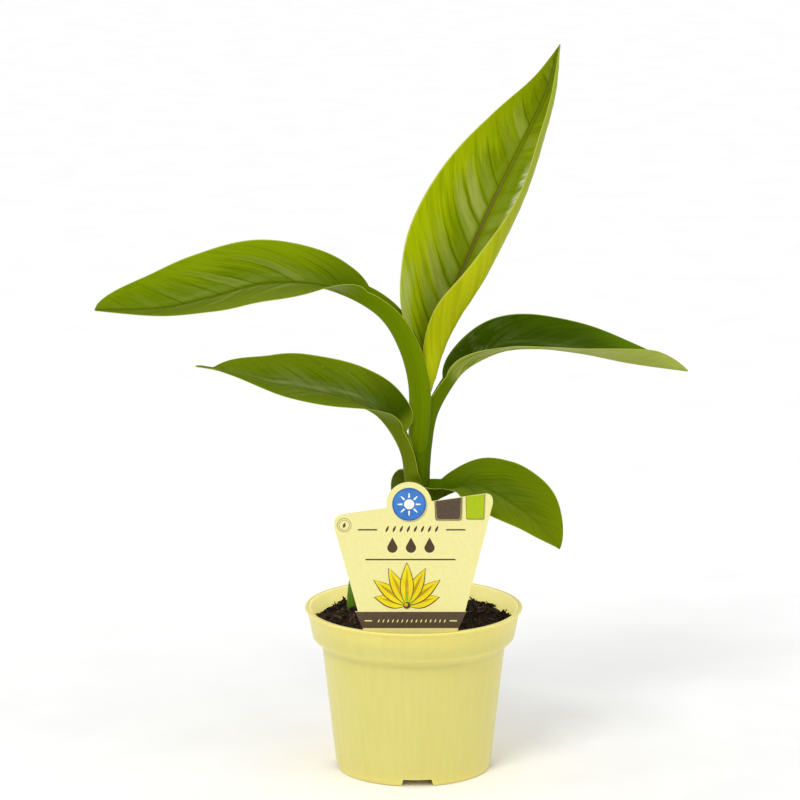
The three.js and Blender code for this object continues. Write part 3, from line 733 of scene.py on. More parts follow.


# In each look, pale, patches and band set the painted sheen, and glare, sheen and edge_glint the
# painted highlights.
LOOKS = {
    "leaf_top": leaf_look(
        (118, 136, 2), (158, 172, 6), (108, 124, 2), (160, 168, 76), (162, 170, 8),
        (180, 186, 20), vein=(74, 95, 0), rib=(130, 98, 66), rib_strength=0.95,
        stalk=(154, 160, 6), stalk_light=(176, 178, 20), patches=1.0, band=0.15, rough=0.36,
        margin=(188, 195, 80), gloss=0.045, lines_at=(1.0, 0.3), rib_end=0.15,
        under_tip=(146, 160, 58), edge_glint=0.9, patches_at=(1.0, 0.35), sheen=0.55,
        base=(170, 184, 4), base_strength=0.8),
    "leaf_left_upper": leaf_look(
        (95, 116, 2), (122, 140, 6), (110, 131, 4), (122, 134, 52), (99, 120, 6),
        (115, 136, 14), vein=(60, 81, 0), rib=(64, 83, 4), patches=0.8, band=0.7, groove=0.4,
        margin=(165, 176, 60), stalk=(99, 123, 2), stalk_light=(112, 135, 3),
        near=(98, 112, 30), near_at=(1.0, 0.0), near_strength=0.55, base=(82, 104, 2),
        base_strength=0.9, under_tip=(112, 128, 40), lip=0.06),
    "leaf_left_lower": leaf_look(
        (82, 101, 2), (102, 119, 10), (102, 121, 12), (122, 133, 76), (99, 118, 6),
        (111, 126, 20), vein=(56, 75, 0), rib=(126, 137, 60), patches=0.25, band=0.95,
        lines=0.35, specks=0.6, stalk=(108, 124, 10), stalk_light=(126, 139, 30),
        base=(52, 72, 0), base_strength=1.0, near=(104, 122, 3), near_at=(1.0, 0.0),
        near_strength=0.7, band_at=(1.0, 0.25), groove=0.15, rib_strength=0.3),
    "leaf_right": leaf_look(
        (50, 70, 1), (66, 88, 2), (104, 134, 2), (100, 114, 50), (120, 138, 30),
        (166, 172, 84), vein=(42, 60, 0), rib=(82, 100, 10), patches=0.2, band=0.5,
        lines=0.35, rough=0.42, gloss=0.02, under_tip=(158, 168, 74), stalk=(80, 102, 2),
        stalk_light=(100, 119, 10), glare=0.5),
    "leaf_lower_right": leaf_look(
        (74, 94, 1), (96, 115, 4), (110, 124, 2), (108, 121, 44), (60, 76, 2),
        (80, 95, 8), vein=(64, 83, 0), rib=(98, 114, 16), patches=0.3, band=0.8,
        lines=0.3, stalk=(66, 83, 1), stalk_light=(88, 103, 8), strands=14.0,
        near=(106, 121, 10), near_strength=0.5, near_from=(0.3, 0.55), band_at=(0.3, 1.0),
        groove=0.2, rib_strength=0.25, base=(66, 90, 0), base_strength=0.9),
    "leaf_back": leaf_look(
        (82, 101, 8), (104, 121, 20), (102, 120, 22), (120, 132, 56), (96, 112, 20),
        (102, 112, 36), lines=0.3),
}


def stem_material():
    """Green sheaths with fine streaks lengthwise and cloudy paler places."""
    s = Shader("stem_green", Specular_IOR_Level=0.035, Specular_Tint=GREEN_TINT)
    long_streaks = s.noise(900, 3, (1, 1, 0.02))
    low = s.product(s.ramp(s.noise(40, 3, (1, 1, 0.4)), 0.35, 0.7), 0.6)
    colour = s.mix(s.ramp(long_streaks, 0.35, 0.65), linear(72, 94, 1), linear(92, 113, 3))
    colour = s.mix(low, colour, linear(104, 122, 10))
    return s.finish(colour, s.ramp(long_streaks, 0.3, 0.7, 0.38, 0.5), long_streaks,
                    depth=0.0001, strength=0.4)


def pot_material(name, light, dark, glow=0.0):
    """Pale yellow plastic. glow is painted light: a faint glow that stands for the light that
    comes through the thin wall.
    """
    s = Shader(name, Subsurface_Weight=0.75, Subsurface_Scale=0.006,
               Subsurface_Radius=(1.0, 0.9, 0.45), Specular_IOR_Level=0.42,
               Emission_Strength=glow, Emission_Color=linear(*light))
    flow = s.noise(300, 2, (1, 1, 0.012))
    cloud = s.noise(20, 2, (1, 1, 0.3))
    between = [(a + b) / 2 for a, b in zip(light, dark)]
    colour = s.mix(s.ramp(flow, 0.25, 0.75), linear(*between), linear(*light))
    colour = s.mix(s.ramp(cloud, 0.3, 0.7, 0.0, 0.35), colour, linear(*dark))
    rough = s.ramp(s.noise(140, 4), 0.3, 0.7, 0.33, 0.37)
    return s.finish(colour, rough, flow, depth=0.0001, strength=0.12)


def soil_material():
    """Dark peat in clumps, with lighter fibres in it."""
    s = Shader("soil_peat", Specular_IOR_Level=0.2)
    clump = s.noise(240, 6)
    colour = s.mix(s.ramp(clump, 0.35, 0.65), linear(20, 15, 10), linear(66, 50, 32))
    colour = s.mix(s.ramp(s.noise(700, 4), 0.55, 0.75, 0.0, 0.7), colour, linear(92, 70, 46))
    return s.finish(colour, s.ramp(clump, 0.3, 0.7, 0.8, 0.95), s.noise(1500, 6),
                    depth=0.0008, strength=0.9)


def plain_material(name, light, dark, roughness=0.6, scale=300, depth=0.0001, stretch=(1, 1, 1)):
    """One colour with a fine grain in tone, gloss and relief."""
    s = Shader(name, Specular_IOR_Level=0.25)
    grain = s.noise(scale, 4, stretch)
    colour = s.mix(s.ramp(grain, 0.3, 0.7), linear(*dark), linear(*light))
    rough = s.ramp(grain, 0.3, 0.7, roughness - 0.06, roughness + 0.06)
    return s.finish(colour, rough, grain, depth=depth, strength=0.3)


# ---------------- stem and side shoot


def tube(centres, radii, sides, wrinkle=None):
    """Vertices and faces of a round limb with closed ends. wrinkle(turns, row) adds to
    the radius."""
    turns = np.arange(sides) * 2 * np.pi / sides
    rows = []
    for i, (centre, radius) in enumerate(zip(centres, radii)):
        r = radius + (wrinkle(turns, i) if wrinkle else 0)
        rows.append(ring(turns, r, centre[2], centre[0], centre[1]))
    vertices = np.concatenate(rows)
    faces = grid_faces(len(rows), sides, closed=True)
    last = (len(rows) - 1) * sides
    faces.append(tuple(range(sides))[::-1])
    faces.append(tuple(range(last, last + sides)))
    return vertices, faces


def make_stem(material):
    heights = np.linspace(SOIL_TOP - 0.5, STEM["top_z"], 90)
    centres = [(STEM["x"], 0, z) for z in heights]
    radii = stem_radius(heights) - 1.3

    def ribs(turns, row):
        return 0.08 * np.cos(turns * 24)

    vertices, faces = tube(centres, radii, 96, ribs)
    mesh_piece("stem_core", vertices, faces, material, "pseudostem")


def make_shoot(material):
    """The rolled spear of a young sucker, with the edge of its outer leaf."""
    steps = np.linspace(0, 1, 60)
    lean = SHOOT["lean"] * steps**1.6
    foot = SOIL_TOP - 1
    centres = [(SHOOT["x"] + a, SHOOT["y"] + 0.2 * a, foot + SHOOT["height"] * t)
               for a, t in zip(lean, steps)]
    radii = SHOOT["radius"] * (1 - steps**2.2) + 0.35

    def seam(turns, row):
        edge = 0.9 + 2.4 * steps[row]
        around = (turns - edge) % (2 * np.pi)
        return 0.35 * np.exp(-around * 1.6) * (1 - steps[row] * 0.6)

    vertices, faces = tube(centres, radii, 64, seam)
    mesh_piece("shoot_spear", vertices, faces, material, "side_shoot")


# ---------------- pot


def body_radius(z):
    """The outer radius of the pot's conical body at a height."""
    return POT["base"] + (POT["neck"] - POT["base"]) * z / POT["neck_z"]


def inner_wall():
    """The pot's inside from the rim down to the floor."""
    wall, floor = POT["wall"], POT["channel"] + POT["wall"]
    return [
        (POT["rim"] - POT["lip_reach"] - wall, POT["height"] - 0.6),
        (POT["band_foot"] - wall, POT["band_foot_z"] + wall / 2),
        (POT["neck"] - wall, POT["neck_z"] + wall),
        (body_radius(floor) - wall, floor),
    ]


def around(radius, z, offsets):
    """The points of a rounded edge, as steps from its sharp corner."""
    return [(radius + a, z + b) for a, b in offsets]


def pot_profile():
    """The pot's section, with the moulded edges rounded and a hollow under the lip."""
    height, rim, channel = POT["height"], POT["rim"], POT["channel"]
    under_lip = rim - POT["lip_reach"]
    band_top = height - POT["lip_height"]
    foot_in = POT["base"] - POT["foot_width"]
    wall = POT["wall"]
    outer = around(POT["centre"], 0, [(0, 0), (0.8, channel)])
    outer += around(foot_in, 0, [(-0.4, channel), (0, 0.3), (0.5, 0)])
    outer += around(POT["base"], 0, [(-1.2, 0), (-0.3, 0.3)]) + [(body_radius(1.2), 1.2)]
    outer += [(body_radius(z), z) for z in np.linspace(8, POT["neck_z"] - 0.6, 9)]
    outer += around(POT["neck"], POT["neck_z"], [(0.1, 0.3), (0.7, 1.3)])
    outer += around(POT["band_foot"], POT["band_foot_z"], [(-1.4, -1.6), (-0.3, -0.4), (0, 0.5)])
    outer += around(under_lip, band_top, [(-0.15, -1.2), (0.1, -0.5), (0.6, 0.3)])
    outer += around(rim, band_top, [(-0.5, 1), (-0.15, 1.25), (-0.02, 1.5)])
    outer += around(rim, height, [(0, -0.5), (-0.1, -0.25), (-0.3, -0.08), (-0.7, 0)])
    outer += around(under_lip - wall, height, [(0.6, 0), (0.1, -0.2)])
    floor = channel + wall
    return [(0, 0)] + outer + inner_wall() + [(POT["centre"] + 0.8 + wall, floor),
                                              (POT["centre"], wall), (0, wall)]


def lathe(profile, segments):
    """Vertices and faces of a profile that starts and ends on the axis, turned round it."""
    inner = profile[1:-1]
    turns = np.arange(segments) * 2 * np.pi / segments
    rings = [ring(turns, r, z) for r, z in inner]
    count = len(inner) * segments
    vertices = np.vstack(rings + [[[0, 0, profile[0][1]]], [[0, 0, profile[-1][1]]]])
    faces = grid_faces(len(inner), segments, closed=True)
    last = (len(inner) - 1) * segments
    for k in range(segments):
        after = (k + 1) % segments
        faces.append((count, after, k))
        faces.append((count + 1, last + k, last + after))
    return vertices, faces


def box_cutter(width, depth, height, x, y, z, turn, taper=0):
    """A box whose sides lean by taper, turned about the pot's axis."""
    corners = []
    for dz in (-1, 1):
        for dx, dy in ((-1, -1), (1, -1), (1, 1), (-1, 1)):
            half = width / 2 - taper * dz
            corners.append((x + dx * half, y + dy * depth / 2, z + dz * height / 2))
    c, s = math.cos(turn), math.sin(turn)
    vertices = [(x * c - y * s, x * s + y * c, z) for x, y, z in corners]
    faces = [(3, 2, 1, 0), (4, 5, 6, 7), (0, 1, 5, 4), (1, 2, 6, 5), (2, 3, 7, 6), (3, 0, 4, 7)]
    return vertices, faces


def pot_cutters():
    """The drain notches in the foot and the slots in the floor, as one mesh."""
    vertices, faces = [], []

    def add(part):
        start = len(vertices)
        vertices.extend(part[0])
        faces.extend(tuple(start + i for i in face) for face in part[1])

    for i in range(DRAIN["notches"]):
        turn = math.radians(DRAIN["turn"]) + i * 2 * math.pi / DRAIN["notches"]
        y = -(POT["base"] - POT["foot_width"] / 2)
        size = (DRAIN["width"] - DRAIN["taper"], POT["foot_width"] + 3, 2 * DRAIN["height"])
        add(box_cutter(*size, 0, y, 0, turn, DRAIN["taper"]))
    for i in range(SLOT["count"]):
        turn = (i + 0.5) * 2 * math.pi / SLOT["count"]
        size = (SLOT["length"], SLOT["width"], 3 * POT["wall"])
        add(box_cutter(*size, SLOT["radius"], 0, POT["channel"] + POT["wall"] / 2, turn))
    return vertices, faces


def cut_out(piece, vertices, faces):
    """Takes closed shapes, in millimetres, away from a piece."""
    mesh = bpy.data.meshes.new("cutter")
    mesh.from_pydata((np.array(vertices) * MM).tolist(), [], faces)
    cutter = add_object("cutter", mesh)
    cut = piece.modifiers.new("cut", "BOOLEAN")
    cut.operation, cut.solver, cut.object = "DIFFERENCE", "EXACT", cutter
    graph = bpy.context.evaluated_depsgraph_get()
    shape = bpy.data.meshes.new_from_object(piece.evaluated_get(graph))
    piece.modifiers.clear()
    piece.data = shape
    bpy.data.objects.remove(cutter)


def paint_inner_glow(mesh):
    """Gives the second material to the inner wall, from the band's foot up: a paler, glowing copy
    of the plastic that paints the light coming through the wall.
    """
    radii = (POT["band_foot"], POT["rim"] - POT["lip_reach"])
    for face in mesh.polygons:
        x, y, z = np.array(face.center) / MM
        middle = np.interp(z, (POT["band_foot_z"], POT["height"]), radii) - POT["wall"] / 2
        face.material_index = int(z > POT["band_foot_z"] and math.hypot(x, y) < middle)


def make_pot(material, inside):
    vertices, faces = lathe(pot_profile(), POT["segments"])
    pot = mesh_piece("pot_shell", vertices, faces, material, "pot")
    cut_out(pot, *pot_cutters())
    pot.data.polygons.foreach_set("use_smooth", [True] * len(pot.data.polygons))
    pot.data.set_sharp_from_angle(angle=math.radians(POT["crisp"]))
    # The second material is painted light: paler and faintly glowing.
    pot.data.materials.append(inside)
    paint_inner_glow(pot.data)


# ---------------- soil


def ground(x, y):
    """The soil's height, with low heaps, level where the stem stands."""
    r = np.hypot(x, y)
    stem = np.hypot(x - STEM["x"], y)
    fade = ease((stem - 8) / 8)
    waves = np.sin(x / 7 + 1) * np.cos(y / 6) + 0.6 * np.sin((x + 2 * y) / 9)
    edge = -SOIL["edge_drop"] * ease((r - 49) / 5)
    return SOIL_TOP + SOIL["heap"] * fade * waves + edge


def soil_edge():
    """The inner radius of the pot at the soil's level."""
    (r1, z1), (r0, z0) = inner_wall()[0], inner_wall()[1]
    return r0 + (r1 - r0) * (SOIL_TOP - z0) / (z1 - z0)


def make_soil(material):
    """The bed of soil, a closed body with a rough top, and what lies on it."""
    rng = np.random.default_rng(SOIL["seed"])
    rings, segments = SOIL["rings"], SOIL["segments"]
    edge = soil_edge() - 0.2
    radii = edge * np.linspace(0.004, 1, rings)
    turns = np.arange(segments) * 2 * np.pi / segments
    x = radii[:, None] * np.cos(turns)
    y = radii[:, None] * np.sin(turns)
    rough = rng.normal(0, 1, (rings, segments))
    for axis in (0, 1):
        rough = (rough + np.roll(rough, 1, axis) + np.roll(rough, -1, axis)) / 2.2
    z = ground(x, y) + SOIL["rough"] * rough * ease((radii[:, None] - 3) / 6)
    z[-1] = ground(x, y)[-1] - 1
    top = np.stack([x, y, z], axis=-1).reshape(-1, 3)
    floor = POT["channel"] + POT["wall"] + 0.3
    low = [(body_radius(floor) - POT["wall"] - 0.4, floor),
           (POT["neck"] - POT["wall"] - 0.4, POT["neck_z"])]
    rows = [ring(turns, r, h) for r, h in low[::-1]]
    vertices = np.vstack([top] + rows)
    faces = grid_faces(rings, segments, closed=True)
    faces += grid_faces(3, segments, start=(rings - 1) * segments, closed=True)
    faces.append(tuple(range(segments))[::-1])
    faces.append(tuple(range(len(vertices) - segments, len(vertices))))
    mesh_piece("soil_bed", vertices, faces, material, "soil")
    for name, count, shape, tilt, look in SCRAPS:
        scatter(name, rng, count, edge, plain_material(*look), shape, tilt)


OCTAHEDRON = np.array([(1, 0, 0), (-1, 0, 0), (0, 1, 0), (0, -1, 0), (0, 0, 1), (0, 0, -1)])
OCTAHEDRON_FACES = [(0, 2, 4), (2, 1, 4), (1, 3, 4), (3, 0, 4),
                    (2, 0, 5), (1, 2, 5), (3, 1, 5), (0, 3, 5)]


def split(vertices, faces):
    """Each triangle as four, with the new corners pushed out to the sphere."""
    vertices = [tuple(v) for v in vertices]
    known, out = {}, []

    def between(a, b):
        key = (min(a, b), max(a, b))
        if key not in known:
            known[key] = len(vertices)
            vertices.append(tuple(unit(np.add(vertices[a], vertices[b]))))
        return known[key]

    for a, b, c in faces:
        ab, bc, ca = between(a, b), between(b, c), between(c, a)
        out += [(a, ab, ca), (ab, b, bc), (ca, bc, c), (ab, bc, ca)]
    return np.array(vertices), out


PEBBLE = split(OCTAHEDRON.astype(float), OCTAHEDRON_FACES)


def lumpy(rng, spread):
    """The pebble with an uneven skin."""
    vertices, faces = PEBBLE
    return vertices * (1 + rng.normal(0, spread, (len(vertices), 1))), faces


def crumb_shape(rng):
    """A lump of peat. Like each shape here it gives how high its middle lies as well."""
    size = rng.uniform(0.35, 1.15) ** 1.6 * 1.25
    vertices, faces = lumpy(rng, 0.24)
    return vertices * size * rng.uniform(0.6, 1.2, 3), faces, 0.35 * size


def chip_shape(rng):
    """A flat splinter of bark."""
    length, width, thick = rng.uniform(1.8, 4.6), rng.uniform(0.5, 1.2), rng.uniform(0.2, 0.45)
    vertices, faces = lumpy(rng, 0.12)
    return vertices * (length, width, thick), faces, 0.6


def shard_shape(rng):
    """A thin piece of bark that stands up out of the soil."""
    height, width, thick = rng.uniform(1.4, 4.0), rng.uniform(0.4, 0.9), rng.uniform(0.2, 0.4)
    vertices, faces = lumpy(rng, 0.16)
    return vertices * (width, thick, height), faces, 0.5 * height


def speck_shape(rng):
    """A pale grain, as of sand or perlite."""
    vertices, faces = lumpy(rng, 0.15)
    return vertices * rng.uniform(0.25, 0.5), faces, 0.6


def fibre_shape(rng):
    """A short bent strand of peat moss."""
    count = 7
    t = np.linspace(-1, 1, count)
    length = rng.uniform(2.5, 7)
    bend, lift = rng.uniform(-2, 2), rng.uniform(0.2, 1.6)
    centre = np.stack([t * length, bend * t**2, lift * (1 - t**2) + 0.5 * t], axis=1)
    width = 0.16 * (1 - 0.6 * np.abs(t)) + 0.03
    section = np.array([(0, 1, 0), (0, -0.5, 0.87), (0, -0.5, -0.87)])
    vertices = (centre[:, None] + section[None] * width[:, None, None]).reshape(-1, 3)
    last = 3 * (count - 1)
    ends = [(2, 1, 0), (last, last + 1, last + 2)]
    return vertices, grid_faces(count, 3, closed=True) + ends, 0.3


# What lies on the soil: its piece, count, shape and tilt, and its material.
SCRAPS = [
    ("soil_crumbs", 3000, crumb_shape, 0.45,
     ("peat_crumb", (58, 44, 29), (20, 15, 10), 0.9, 260, 0.0003)),
    ("soil_chips", 420, chip_shape, 0.45,
     ("bark_chip", (98, 66, 41), (34, 24, 16), 0.85, 260, 0.0003)),
    ("soil_fibres", 260, fibre_shape, 0.45,
     ("moss_fibre", (96, 76, 50), (40, 30, 20), 0.85, 400, 0.0002)),
    ("soil_shards", 260, shard_shape, 0.7,
     ("bark_shard", (52, 38, 26), (18, 13, 9), 0.85, 260, 0.0003)),
    ("soil_specks", 150, speck_shape, 0.45,
     ("pale_grain", (150, 138, 112), (112, 100, 78), 0.8, 500, 0.0002)),
]


def spin(rng, tilt):
    """A random turn about the vertical after a small random tilt."""
    a, b, c = rng.uniform(0, 2 * math.pi), rng.normal(0, tilt), rng.normal(0, tilt)
    about_z = np.array([[math.cos(a), -math.sin(a), 0], [math.sin(a), math.cos(a), 0], [0, 0, 1]])
    about_x = np.array([[1, 0, 0], [0, math.cos(b), -math.sin(b)], [0, math.sin(b), math.cos(b)]])
    about_y = np.array([[math.cos(c), 0, math.sin(c)], [0, 1, 0], [-math.sin(c), 0, math.cos(c)]])
    return about_z @ about_y @ about_x


def scatter(name, rng, count, edge, material, shape, tilt):
    """Many small things on the soil, joined into one piece."""
    all_vertices, all_faces, start = [], [], 0
    for _ in range(count):
        vertices, faces, lift = shape(rng)
        r, turn = (edge - 0.8) * math.sqrt(rng.uniform(0, 1)), rng.uniform(0, 2 * math.pi)
        x, y = r * math.cos(turn), r * math.sin(turn)
        if math.hypot(x - STEM["x"], y) < STEM["clear"]:
            continue
        placed = vertices @ spin(rng, tilt).T + (x, y, float(ground(x, y)) + lift)
        reach = np.hypot(placed[:, 0], placed[:, 1]).max()
        if reach > edge + 0.4 or hits_label(placed):
            continue
        all_vertices.append(placed)
        all_faces += [tuple(start + i for i in face) for face in faces]
        start += len(vertices)
    mesh_piece(name, np.vstack(all_vertices), all_faces, material, None,
               smooth=False)


def hits_label(points):
    low, high = points.min(axis=0)[1], points.max(axis=0)[1]
    front, back = LABEL["y"] - LABEL["clear"], LABEL["y"] + LABEL["clear"]
    return low < back and high > front and abs(points[0, 0]) < LABEL["half_width"]


# ---------------- label

CARD = {
    "foot_left": -27.7, "foot_right": 24.2, "foot_z": 91, "waist_z": 100.1,
    "waist_left": -30.2, "waist_right": 27.7, "band_left": -31.8, "band_right": 28.4,
    "left_x": -43.6, "left_z": 150, "right_x": 42.9, "right_z": 161, "top_left": 153.2,
    "top_right": 166.2, "corner": 5.5, "bump_x": -2.6, "bump_z": 159.6, "bump_r": 12.2,
    "spike_top": 84, "spike_half": 8, "spike_tip": 57,
}

# The card and its inks: a light and a dark tone, the roughness and the scale of the grain.
INKS = {
    "card_cream": ((233, 226, 154), (229, 222, 148), 0.5, 500),
    "print_brown": ((87, 71, 53), (79, 64, 47), 0.5, 600),
    "print_dark": ((78, 62, 36), (66, 52, 30), 0.5, 600),
    "print_lime": ((168, 188, 3), (161, 182, 1), 0.5, 600),
    "print_blue": ((66, 128, 200), (46, 108, 184), 0.45, 90),
    "print_navy": ((44, 98, 168), (38, 90, 158), 0.45, 600),
    "print_white": ((248, 247, 238), (242, 241, 230), 0.45, 600),
    "print_yellow": ((240, 220, 14), (226, 202, 6), 0.5, 140),
    "print_ochre": ((206, 176, 8), (178, 146, 4), 0.5, 140),
    "print_green": ((168, 196, 30), (140, 176, 20), 0.5, 140),
    "print_shadow": ((198, 190, 130), (186, 178, 120), 0.5, 300),
}
INK_STEP = 0.03  # from one level of ink to the next
INK_SINK = 0.01  # how far a level reaches into the one under it
RULE = 0.8  # the thickness of a printed line
BADGE = {"radius": 9.1, "edge": 0.7, "rays": 8, "sun": 0.3, "ray_foot": 0.4, "ray_tip": 0.68}
# Two plain tabs, printed in levels: left, right, foot, corner, ink and level.
TABS = [
    ("tab_brown_shadow", 11.2, 26.1, 150.3, 1.7, "print_shadow", 1),
    ("tab_brown_edge", 11.5, 25.5, 150.7, 1.7, "print_brown", 2),
    ("tab_brown_line", 11.9, 25.1, 151.1, 1.7, "print_shadow", 3),
    ("tab_brown", 12.1, 24.9, 151.35, 1.7, "print_brown", 4),
    ("tab_lime_shadow", 28.1, 38.2, 150.9, 1.2, "print_shadow", 1),
    ("tab_lime_edge", 28.1, 37.6, 151.3, 1.1, "print_dark", 2),
    ("tab_lime", 28.35, 37.4, 151.6, 1, "print_lime", 3),
]
# The fan's foot, and the turn from upright and the length of each of its leaves.
FAN = {
    "x": -3.8, "z": 103.6,
    "leaves": [(-76, 18), (-52, 22.5), (-26, 22.5), (0, 23.5), (26, 22.5), (52, 22.5),
               (76, 18)],
}


def top_edge(x):
    """The height of the card's slanting top."""
    slope = (CARD["top_right"] - CARD["top_left"]) / (CARD["right_x"] - CARD["left_x"])
    return CARD["top_left"] + slope * (x - CARD["left_x"])


def bend_points(a, b, c, count=8):
    """A quarter bend from a to c with its corner at b."""
    t = np.linspace(0, 1, count)[:, None]
    a, b, c = (np.array(p, float) for p in (a, b, c))
    return ((1 - t) ** 2 * a + 2 * t * (1 - t) * b + t**2 * c).tolist()


def arc_points(x, z, radius, start, end, count):
    turns = np.linspace(math.radians(start), math.radians(end), count)
    return [(x + radius * math.cos(t), z + radius * math.sin(t)) for t in turns]


def card_outline():
    left, right, corner = CARD["left_x"], CARD["right_x"], CARD["corner"]
    rise = top_edge(CARD["bump_x"]) - CARD["bump_z"]
    spread = math.sqrt(CARD["bump_r"] ** 2 - rise**2)
    start, end = CARD["bump_x"] - spread, CARD["bump_x"] + spread
    turn = [math.degrees(math.atan2(top_edge(x) - CARD["bump_z"], x - CARD["bump_x"]))
            for x in (start, end)]
    points = [(CARD["foot_left"], CARD["foot_z"]),
              (CARD["band_left"], CARD["waist_z"] - 0.1), (CARD["waist_left"], CARD["waist_z"])]
    points += bend_points((left + 0.7, CARD["left_z"] - 3), (left, top_edge(left)),
                          (left + corner, top_edge(left + corner)))
    points += arc_points(CARD["bump_x"], CARD["bump_z"], CARD["bump_r"],
                         turn[0] % 360, turn[1], 40)
    points += bend_points((right - corner, top_edge(right - corner)), (right, top_edge(right)),
                          (right - 0.5, CARD["right_z"] - 1))
    points += [(CARD["waist_right"], CARD["waist_z"]),
               (CARD["band_right"], CARD["waist_z"] - 0.1),
               (CARD["foot_right"], CARD["foot_z"]), (CARD["foot_right"] - 2, CARD["spike_top"]),
               (CARD["spike_half"], CARD["spike_top"] - 4), (0, CARD["spike_tip"]),
               (-CARD["spike_half"], CARD["spike_top"] - 4),
               (CARD["foot_left"] + 2, CARD["spike_top"])]
    return points


def plate(name, outline, front, back, material, node=None, bevel=0.0):
    """A flat piece upright in the XZ plane, between two values of Y."""
    count = len(outline)
    vertices = [(x, front, z) for x, z in outline] + [(x, back, z) for x, z in outline]
    area = sum(outline[i - 1][0] * outline[i][1] - outline[i][0] * outline[i - 1][1]
               for i in range(count))
    order = list(range(count)) if area > 0 else list(range(count))[::-1]
    faces = [tuple(order), tuple(i + count for i in order[::-1])]
    for a, b in zip(order, order[1:] + order[:1]):
        faces.append((b, a, a + count, b + count))
    piece = mesh_piece(name, vertices, faces, material, node, smooth=False)
    if bevel:
        edge = piece.modifiers.new("edge", "BEVEL")
        edge.width, edge.segments, edge.limit_method = bevel * MM, 2, "ANGLE"
    return piece


def ring_points(x, z, outer, inner, count=48):
    """A ring cut open by a hair, so that it is one outline."""
    return (arc_points(x, z, outer, 0.5, 359.5, count)
            + arc_points(x, z, inner, 359.5, 0.5, count))


def stroke(x0, x1, z, thickness):
    half = thickness / 2
    return [(x0, z - half), (x1, z - half), (x1, z + half), (x0, z + half)]


def tab_points(x0, x1, bottom, corner):
    """A tab that hangs from the card's slanting top edge, with round lower corners."""
    points = [(x0 - 0.4, top_edge(x0) - 0.15)]
    points += bend_points((x0, bottom + corner), (x0, bottom), (x0 + corner, bottom), 6)
    points += bend_points((x1 - corner, bottom), (x1, bottom), (x1, bottom + corner), 6)
    return points + [(x1 + 0.4, top_edge(x1) - 0.15)]


def drop_points(x, z, size):
    """A water drop: a round foot under a point."""
    points = arc_points(x, z, size, 150, 390, 20)
    return points + [(x, z + size * 2.1)]


def leaf_points(x, z, length, width, turn):
    """A pointed leaf from its foot at (x, z), turned from upright."""
    t = np.linspace(0, 1, 16)
    side = width * np.sin(np.pi * t**0.85)
    points = [(s, length * u) for s, u in zip(side, t)]
    points += [(-s, length * u) for s, u in zip(side[::-1], t[::-1])][1:-1]
    c, s = math.cos(math.radians(turn)), math.sin(math.radians(turn))
    return [(x + a * c + b * s, z + b * c - a * s) for a, b in points]


def print_badge(ink):
    """A round badge: a sun on blue, the sign for a bright place."""
    x, z, r = CARD["bump_x"], CARD["bump_z"], BADGE["radius"]
    ink("badge_shadow", arc_points(x + 0.5, z - 0.6, r + 0.3, 0, 354, 56), "print_shadow")
    ink("badge_edge", arc_points(x, z, r, 0, 354, 60), "print_navy", 2)
    ink("badge_disc", arc_points(x, z, r - BADGE["edge"], 0, 354, 60), "print_blue", 3)
    ink("sun_disc", arc_points(x, z, r * BADGE["sun"], 0, 350, 36), "print_white", 4)
    for i in range(BADGE["rays"]):
        turn = i * 360 / BADGE["rays"]
        foot = arc_points(x, z, r * BADGE["ray_foot"], turn - 8, turn + 8, 2)
        tip = arc_points(x, z, r * BADGE["ray_tip"], turn + 2.5, turn - 2.5, 2)
        ink(f"sun_ray_{i}", foot + tip, "print_white", 4)


def print_signs(ink):
    """A ring, a row of slanted leaves between dashes, three drops for water and a rule."""
    for name, outer, inner in (("corner_ring", 3.85, 3.6), ("corner_ring_inner", 2.85, 2.65)):
        ink(name, ring_points(-37.5, 148.1, outer, inner), "print_brown")
    ink("corner_leaf", leaf_points(-37.9, 146.5, 3.2, 0.75, 16), "print_brown")
    ink("dash_left", stroke(-30.1, -19.8, 145.5, RULE), "print_dark")
    ink("dash_right", stroke(17.3, 27.6, 145.5, RULE), "print_dark")
    for i in range(8):
        ink(f"row_leaf_{i}", leaf_points(-15.2 + i * 3.8, 144.1, 4.2, 0.62, 24), "print_dark")
    for i in range(3):
        ink(f"drop_{i}", drop_points(-11.6 + i * 10, 135.5, 2.75), "print_dark")
    ink("rule_long", stroke(-26.1, 22.4, 129, RULE), "print_dark")


def print_fan(ink):
    """A fan of yellow leaves, with the middle one in front."""
    x, z = FAN["x"], FAN["z"]
    for i, (turn, length) in enumerate(FAN["leaves"]):
        level = 1 + 3 * (3 - abs(i - 3))
        for name, lift, size, width, tone, over in (
                ("edge", 0, length + 0.5, 3.75, "print_dark", 0),
                ("leaf", 0.2, length - 0.2, 3.35, "print_yellow", 1),
                ("rib", 0.2, length - 3, 0.9, "print_ochre", 2),
                ("calyx", 0, 7.5, 0.85, "print_green", 2.5)):
            ink(f"motif_{name}_{i}", leaf_points(x, z + lift, size, width, turn), tone,
                level + over)
    ink("motif_foot", arc_points(x, z, 1.9, 0, 350, 30), "print_dark", 14)
    ink("motif_foot_light", arc_points(x - 0.4, z + 0.4, 1.1, 0, 350, 30), "print_ochre", 15)


def print_band(ink):
    """The brown band along the card's foot, with leaf marks between two dashes."""
    low, high = CARD["foot_z"] - 0.2, CARD["waist_z"] - 0.2
    ink("band_brown", [(CARD["foot_left"], low), (CARD["foot_right"], low),
                       (CARD["band_right"], high), (CARD["band_left"], high)], "print_brown")
    ink("band_dash_left", stroke(-26.6, -22.6, 94.9, 0.65), "card_cream", 2)
    ink("band_dash_right", stroke(19.3, 23.3, 94.9, 0.65), "card_cream", 2)
    for i in range(15):
        ink(f"band_leaf_{i}", leaf_points(-19.4 + i * 2.55, 93.9, 2.1, 0.34, 24), "card_cream", 2)


